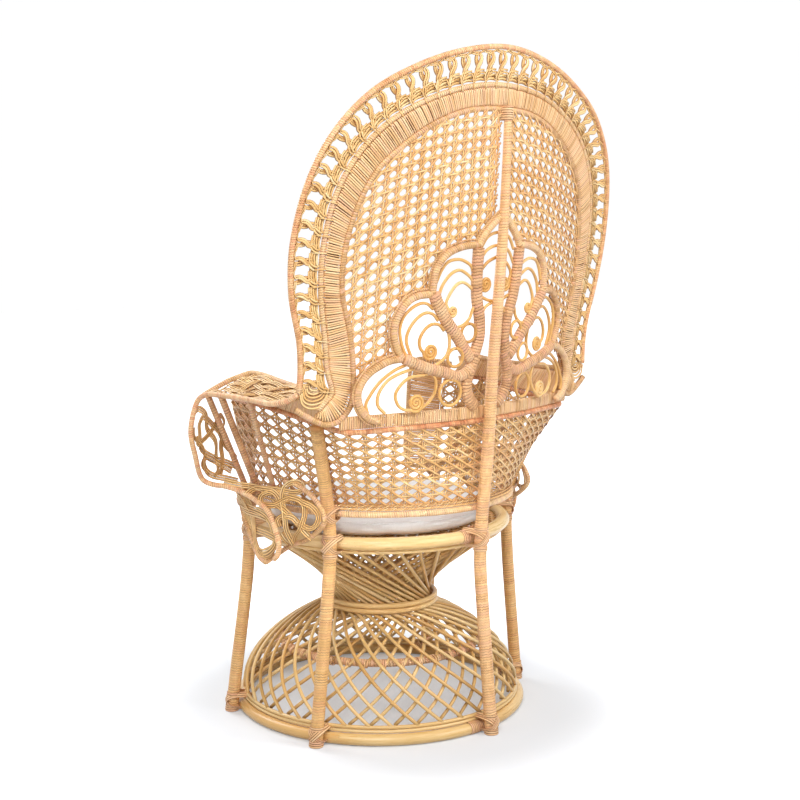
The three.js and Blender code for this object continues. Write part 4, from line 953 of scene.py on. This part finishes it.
def knot(place, a, b, phase, wide, apart, reach, lift=0.0025, count=150, middle=(0.5, 0.5)):
    # A looping line whose two places swing a and b times a round, laid as three canes over and under.
    t = wholeTurn * np.arange(count) / count
    u = middle[0] + reach[0] * np.sin(a * t + phase)
    v = middle[1] + reach[1] * np.sin(b * t)
    line, face = place(u, v, lift * np.sin((a + b) * t + phase))
    ahead = unit(np.roll(line, -1, 0) - np.roll(line, 1, 0))
    return sideBySide(line, np.cross(ahead, face), face, 3, apart, wide, True)


def crossRuns(place, runs):
    # Long canes from one end of a panel to the other, each swaying over its neighbours.
    parts = []
    for low, high, sway, phase in runs:
        u = np.linspace(0.01, 0.99, 60)
        v = np.clip(low + (high - low) * u + sway * np.sin(wholeTurn * (u * 1.5 + phase)), 0.02, 0.98)
        line, face = place(u, v, 0.0034 * np.sin(wholeTurn * (u * 3 + phase * 2)))
        side = np.cross(unit(np.gradient(line, axis=0)), face)
        parts.append(sideBySide(line, side, face, 3, 0.0056, 0.0052))
    return parts


def canesThrough(lines, plies, apart, wide, facing, lift):
    # Flat canes side by side through places in millimetres, rising and sinking over one another.
    parts = []
    for k, (line, number) in enumerate(zip(lines, plies)):
        path = evenly(np.array(line) / 1000, 70)
        ahead = unit(np.gradient(path, axis=0))
        side = unit(np.cross(ahead, np.broadcast_to(unit(np.array(facing)), path.shape)))
        face = np.cross(side, ahead)
        rise = lift * np.sin(wholeTurn * reachOf(path) / 0.075 + 2.1 * k)
        parts.append(sideBySide(path + face * rise[:, None], side, face, number, apart, wide))
    return parts


def mirrorPart(part):
    # The other side's part: x turned over, and each face's corners turned round again.
    return dict(part, verts=part["verts"] * [-1, 1, 1], quads=part["quads"][:, ::-1], caps=part["caps"][:, ::-1],
                uv=part["uv"].reshape(-1, 4, 2)[:, ::-1].reshape(-1, 2), tone=1 - part["tone"])


def bothArms(name, parts, finish, nodes=()):
    for side, batch in (("left", parts), ("right", [mirrorPart(p) for p in parts])):
        makePiece(name + side.title(), batch, finish, [n + side for n in nodes])


def armRod(points, wide, count):
    line = evenly(points, count)
    return strands(line, unit(line - armHeart), wide, None, 10)


bothArms("armOuterRod", [armRod(armOuter, arm["rod"], 180)], "rimCane", ["arm_outer_rod_"])
bothArms("armStruts", [strands(evenly(strut, 30), np.array([1.0, 0, 0.3]), wide, None, 12)
                       for strut, wide in zip(struts, arm["struts"])], "spokeCane")
# The rail's end is tucked behind the fan's foot.
bothArms("armRail", [armRod(np.vstack([railTail, armRail]), arm["rod"], 80)], "paleRimCane", ["arm_rail_"])
low, high, face = edgesOf(between(wallTop, armRail, (0.727, 0.986), (0.011, 0.467)), 70)
bothArms("armBand", [windBand(low, high, face, arm["bandRoom"], arm["band"], arm["bandTurn"]),
                     bandCore(low, high, face, arm["coreRoom"], arm["core"])], "bandCane", ["arm_band_"])

topPanel = between(armOuter, armRail, (0.016, 0.337), (0.022, 0.5))
topParts = crossRuns(topPanel, [(0.09, 0.07, 0.03, 0.0), (0.2, 0.15, 0.07, 0.3), (0.32, 0.26, 0.10, 0.7),
                                (0.44, 0.38, 0.12, 0.1), (0.55, 0.52, 0.12, 0.5), (0.66, 0.64, 0.11, 0.9),
                                (0.78, 0.76, 0.09, 0.4), (0.88, 0.86, 0.05, 0.75), (0.95, 0.94, 0.02, 0.2)])
topParts.append(knot(topPanel, 1, 2, 0.6, 0.0048, 0.0052, (0.16, 0.36), 0.004, 120, (0.6, 0.5)))
bothArms("armTopWeave", topParts, "laceCane", ["arm_top_weave_"])

# The knots' canes, from the places where they are seen.
frontCanes = [
    [(383, -95, 693), (403, -93, 669), (427, -89, 654), (442, -87, 638), (429, -91, 619), (393, -102, 599),
     (358, -105, 586), (341, -95, 574)],
    [(459, -82, 708), (449, -83, 715), (434, -84, 703), (422, -89, 671), (401, -96, 642), (389, -102, 607),
     (391, -101, 573), (401, -99, 563)],
    [(457, -83, 658), (454, -84, 643), (445, -86, 641), (443, -85, 660), (449, -83, 683), (441, -83, 697),
     (420, -88, 688), (385, -98, 655), (361, -105, 624), (345, -96, 596)],
    [(376, -101, 645), (375, -104, 605), (380, -101, 564)],
    [(349, -103, 567), (376, -103, 582), (404, -100, 600), (423, -95, 607), (432, -94, 596), (422, -99, 579),
     (403, -99, 565), (373, -100, 555), (338, -96, 544)],
    [(386, -98, 662), (371, -99, 678), (382, -94, 695), (394, -93, 683), (390, -97, 659), (371, -103, 638)],
    [(464, -81, 676), (458, -83, 654), (439, -88, 631), (430, -92, 610), (431, -96, 591), (416, -99, 569)]]
podCanes = [
    [(400, -64, 556), (382, -31, 550), (368, 2, 548), (361, 44, 548), (345, 75, 546), (336, 106, 547), (330, 117, 554),
     (328, 108, 563), (336, 88, 566), (344, 74, 556), (349, 73, 540), (356, 81, 523), (361, 91, 499), (357, 92, 471),
     (341, 85, 446), (323, 73, 428)],
    [(325, 75, 431), (339, 105, 455), (343, 125, 481), (341, 135, 503), (339, 132, 519), (340, 115, 532),
     (346, 92, 536), (351, 65, 539), (361, 44, 542), (370, 28, 534), (372, 25, 521), (372, 40, 515), (365, 62, 517),
     (354, 79, 527), (346, 98, 533), (338, 125, 528), (332, 150, 519), (329, 165, 503), (330, 159, 486),
     (334, 139, 475), (343, 125, 481), (353, 110, 495), (359, 88, 509), (362, 52, 526)],
    [(366, 82, 473), (368, 79, 486), (362, 89, 497), (354, 108, 495), (345, 120, 480), (334, 126, 464),
     (320, 132, 448)],
    [(362, 81, 459), (350, 76, 446), (328, 69, 429)],
    [(380, -13, 532), (372, -3, 541), (370, 29, 547), (359, 48, 544), (355, 64, 533), (359, 78, 518)]]
frontParts = canesThrough(frontCanes, (3, 3, 3, 4, 3, 2, 2), 0.0050, 0.0049, (0.45, -0.9, 0.1), 0.0025)
bothArms("armFront", frontParts, "laceCane", ["arm_front_"])
bothArms("armFrontBand", [windBand(*edgesOf(between(*edges), count), 0.0, arm["frontBand"], arm["frontTurn"])
                          for edges, count in (((bandInner, bandOuter), 46), ((turnLow, turnHigh), 17))], "bandCane")
# A rod runs round the band's open edges, from the wall's lower rim up to the rail.
bandEdge = np.vstack([bandFoot, bandInner[1::-1], turnHigh[1::-1]])
bothArms("armFrontRod", [armRod(bandEdge, arm["frontRod"], 90)], "paleRimCane")

podPanel = between(podFront, armOuter, (0.075, 1.0), (0.905, 0.653))
podParts = canesThrough(podCanes, (3, 3, 3, 3, 3), 0.0045, 0.0045, (0.35, 0.93, 0.0), 0.0032)
podParts += [knot(podPanel, 2, 3, 0.4, 0.0052, 0.0056, (0.44, 0.44)),
             knot(podPanel, 1, 2, 0.3, 0.0052, 0.0056, (0.4, 0.4))]
bothArms("armPod", podParts, "laceCane", ["arm_pod_"])
bothArms("armPodRods", [armRod(podFront, arm["podRod"], 40), armRod(podRear, arm["podRod"], 60)], "paleRimCane")
print("arms made")

cushion = dict(radius=0.2605, thick=0.043, crown=0.006, low=0.4345, cap=0.007, voxel=0.006, seam=0.468, seamWide=0.0026,
               levels=26, around=96, frames=20, pressure=4.0)


def cushionBlank():
    # A round pad: radius by a rounded square in section, flat below and crowned above.
    m, n = cushion["levels"], cushion["around"]
    a = np.linspace(-np.pi / 2, np.pi / 2, m + 2)[1:-1]
    radius = cushion["radius"] * np.sign(np.cos(a)) * np.abs(np.cos(a)) ** 0.30
    rise = np.sign(np.sin(a)) * np.abs(np.sin(a)) ** 0.75
    height = cushion["low"] + cushion["thick"] / 2 * (1 + rise) + cushion["crown"] * np.maximum(0, rise)
    t = wholeTurn * np.arange(n) / n
    grid = np.stack([radius[:, None] * np.cos(t), radius[:, None] * np.sin(t), np.repeat(height[:, None], n, 1)], -1)
    poles = [[0, 0, cushion["low"]], [0, 0, cushion["low"] + cushion["thick"] + 0.008]]
    verts = np.vstack([grid.reshape(-1, 3), poles])
    verts[:, 1] += axisBack
    i, j = np.meshgrid(np.arange(m - 1), np.arange(n), indexing="ij")
    k = (j + 1) % n
    quads = np.stack([i * n + j, i * n + k, (i + 1) * n + k, (i + 1) * n + j], -1).reshape(-1, 4)
    ring, after = j[0], k[0]
    fans = np.vstack([np.column_stack([np.full(n, m * n), after, ring]),
                      np.column_stack([np.full(n, m * n + 1), (m - 1) * n + ring, (m - 1) * n + after])])
    mesh = bpy.data.meshes.new("seatCushion")
    mesh.from_pydata(verts.tolist(), [], quads.tolist() + fans.tolist())
    piece = bpy.data.objects.new("seatCushion", mesh)
    bpy.context.scene.collection.objects.link(piece)
    return piece


def applyAll(piece):
    bpy.context.view_layer.objects.active = piece
    for other in bpy.context.selected_objects:
        other.select_set(False)
    piece.select_set(True)
    for modifier in list(piece.modifiers):
        bpy.ops.object.modifier_apply(modifier=modifier.name)


def puffUp(piece):
    # The pad is blown up as cloth for twenty frames, and no point may move further than the cap.
    remesh = piece.modifiers.new("even", "REMESH")
    remesh.mode, remesh.voxel_size, remesh.use_smooth_shade = "VOXEL", cushion["voxel"], True
    applyAll(piece)
    start = cornersOf(piece.data)
    cloth = piece.modifiers.new("puff", "CLOTH")
    cloth.settings.use_pressure = True
    cloth.settings.uniform_pressure_force = cushion["pressure"]
    cloth.settings.effector_weights.gravity = 0.0
    cloth.settings.quality = 5
    cloth.collision_settings.use_collision = False
    for number in range(1, cushion["frames"] + 1):
        bpy.context.scene.frame_set(number)
    puffed = piece.evaluated_get(bpy.context.evaluated_depsgraph_get())
    move = cornersOf(puffed.to_mesh()) - start
    puffed.to_mesh_clear()
    piece.modifiers.remove(cloth)
    bpy.context.scene.frame_set(1)
    move = move * np.minimum(1, cushion["cap"] / np.maximum(np.linalg.norm(move, axis=1, keepdims=True), 1e-6))
    place = start + move
    place[:, 2] = np.maximum(place[:, 2], cushion["low"])
    piece.data.vertices.foreach_set("co", place.astype(np.float32).ravel())
    piece.data.update()


cushionPiece = cushionBlank()
puffUp(cushionPiece)
smoother = cushionPiece.modifiers.new("fine", "SUBSURF")
smoother.levels = smoother.render_levels = 1
applyAll(cushionPiece)
cushionPiece.data.polygons.foreach_set("use_smooth", np.ones(len(cushionPiece.data.polygons), bool))
cushionPiece.data.materials.append(finishes["cushionLinen"])
# The seam's cord follows the cushion's widest places in each of 48 directions.
spots = cornersOf(cushionPiece.data) - [0, axisBack, 0]
spots = spots[np.abs(spots[:, 2] - cushion["seam"]) < 0.006]
turn = (np.arctan2(spots[:, 1], spots[:, 0]) / wholeTurn * 48).astype(int) % 48
edges = np.full(48, cushion["radius"] * 0.9)
np.maximum.at(edges, turn, np.linalg.norm(spots[:, :2], axis=1))
a = np.linspace(0, wholeTurn, 240, endpoint=False)
edges = np.interp(a, (np.arange(49) + 0.5) / 48 * wholeTurn, np.append(edges, edges[0]), period=wholeTurn) + 0.0002
seamLine = np.column_stack([edges * np.cos(a), edges * np.sin(a), np.full(240, cushion["seam"])])
makePiece("cushionSeam", [strands(seamLine, outward(seamLine), cushion["seamWide"], None, 6, True)], "cushionLinen", (),
          "cushion")
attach(cushionPiece, "cushion")
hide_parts("seat_cushion")
print("cushion made")

bpy.ops.mesh.primitive_plane_add(size=30, location=(0, 0, 0))
floor = bpy.context.object
floor.name = "floor"
floorLook = dict(colour=(0.62, 0.645, 0.68, 1), near=0.40, far=0.80, nearGlow=0.195)
floorFinish, floorTree, floorShader = newFinish("floorWhite")
feed(floorTree, floorShader, {"Base Color": floorLook["colour"], "Roughness": 0.95})
rays = addNode(floorTree, "ShaderNodeLightPath").outputs
seen = calc(floorTree, "MAXIMUM", rays["Is Camera Ray"], rays["Is Glossy Ray"])
# The floor glows white to the eye far from the chair and only a little near it, where it keeps the shadow.
spot = addNode(floorTree, "ShaderNodeTexCoord").outputs["Object"]
away = addNode(floorTree, "ShaderNodeVectorMath", {0: spot}, operation="LENGTH").outputs["Value"]
far = ranged(floorTree, away, floorLook["near"], floorLook["far"], floorLook["nearGlow"], 1.0, "SMOOTHSTEP")
strength = calc(floorTree, "MULTIPLY", seen, far)
glow = addNode(floorTree, "ShaderNodeEmission", {"Color": (1, 1, 1, 1), "Strength": strength})
both = addNode(floorTree, "ShaderNodeAddShader", {0: floorShader.outputs[0], 1: glow.outputs[0]})
feed(floorTree, floorTree.nodes["Material Output"], {"Surface": both.outputs[0]})
floor.data.materials.append(floorFinish)

# The studio is white where it is seen, and lights the chair with less.
studio = dict(light=0.35, moreWhereSeen=0.655)
world = bpy.data.worlds.new("studio")
bpy.context.scene.world = world
world.use_nodes = True
sky = world.node_tree
rays = addNode(sky, "ShaderNodeLightPath").outputs
seen = calc(sky, "MAXIMUM", rays["Is Camera Ray"], rays["Is Glossy Ray"])
seen = calc(sky, "MAXIMUM", seen, rays["Is Transmission Ray"])
strength = calc(sky, "MULTIPLY_ADD", seen, studio["moreWhereSeen"], studio["light"])
feed(sky, sky.nodes["Background"], {"Strength": strength, "Color": (1, 1, 1, 1)})

lamps = {"keyLamp": dict(at=(2.3, 2.1, 3.0), to=(0, 0.1, 1.0), size=1.5, power=90.0, spread=180),
         "fillLamp": dict(at=(-1.1, 3.0, 2.7), to=(0, 0.1, 1.0), size=1.7, power=68.0, spread=180),
         "frontLamp": dict(at=(0.4, -3.0, 3.2), to=(0, 0, 0.6), size=2.2, power=100.0, spread=180),
         "seatLamp": dict(at=(1.3, 1.6, 0.45), to=(0, 0, 0.47), size=0.5, power=0.22, spread=16)}
for name, lamp in lamps.items():
    data = bpy.data.lights.new(name, "AREA")
    data.shape, data.size, data.energy, data.spread = "DISK", lamp["size"], lamp["power"], np.radians(lamp["spread"])
    light = bpy.data.objects.new(name, data)
    light.location = lamp["at"]
    light.rotation_euler = (Vector(lamp["to"]) - Vector(lamp["at"])).to_track_quat("-Z", "Y").to_euler()
    light.visible_camera = False
    bpy.context.scene.collection.objects.link(light)

# The photograph's camera: its place, the way it looks, and its focal length in pixels of an 800-pixel picture.
seenFrom = dict(place=(2.11798, 2.24362 + axisBack, 1.0792), ahead=(-0.6924, -0.71131, -0.12095), focal=1345.7)
cameraData = bpy.data.cameras.new("camera")
cameraData.sensor_width = 36.0
cameraData.lens = seenFrom["focal"] / 800 * 36.0
cameraData.clip_end = 100.0
camera = bpy.data.objects.new("camera", cameraData)
camera.location = seenFrom["place"]
camera.rotation_mode = "QUATERNION"
camera.rotation_quaternion = Vector(seenFrom["ahead"]).to_track_quat("-Z", "Y")
bpy.context.scene.collection.objects.link(camera)
bpy.context.scene.camera = camera
bpy.context.scene.view_settings.view_transform = "Standard"

print("triangles", sum(made.values()), {k: v for k, v in made.items() if v > 60000})
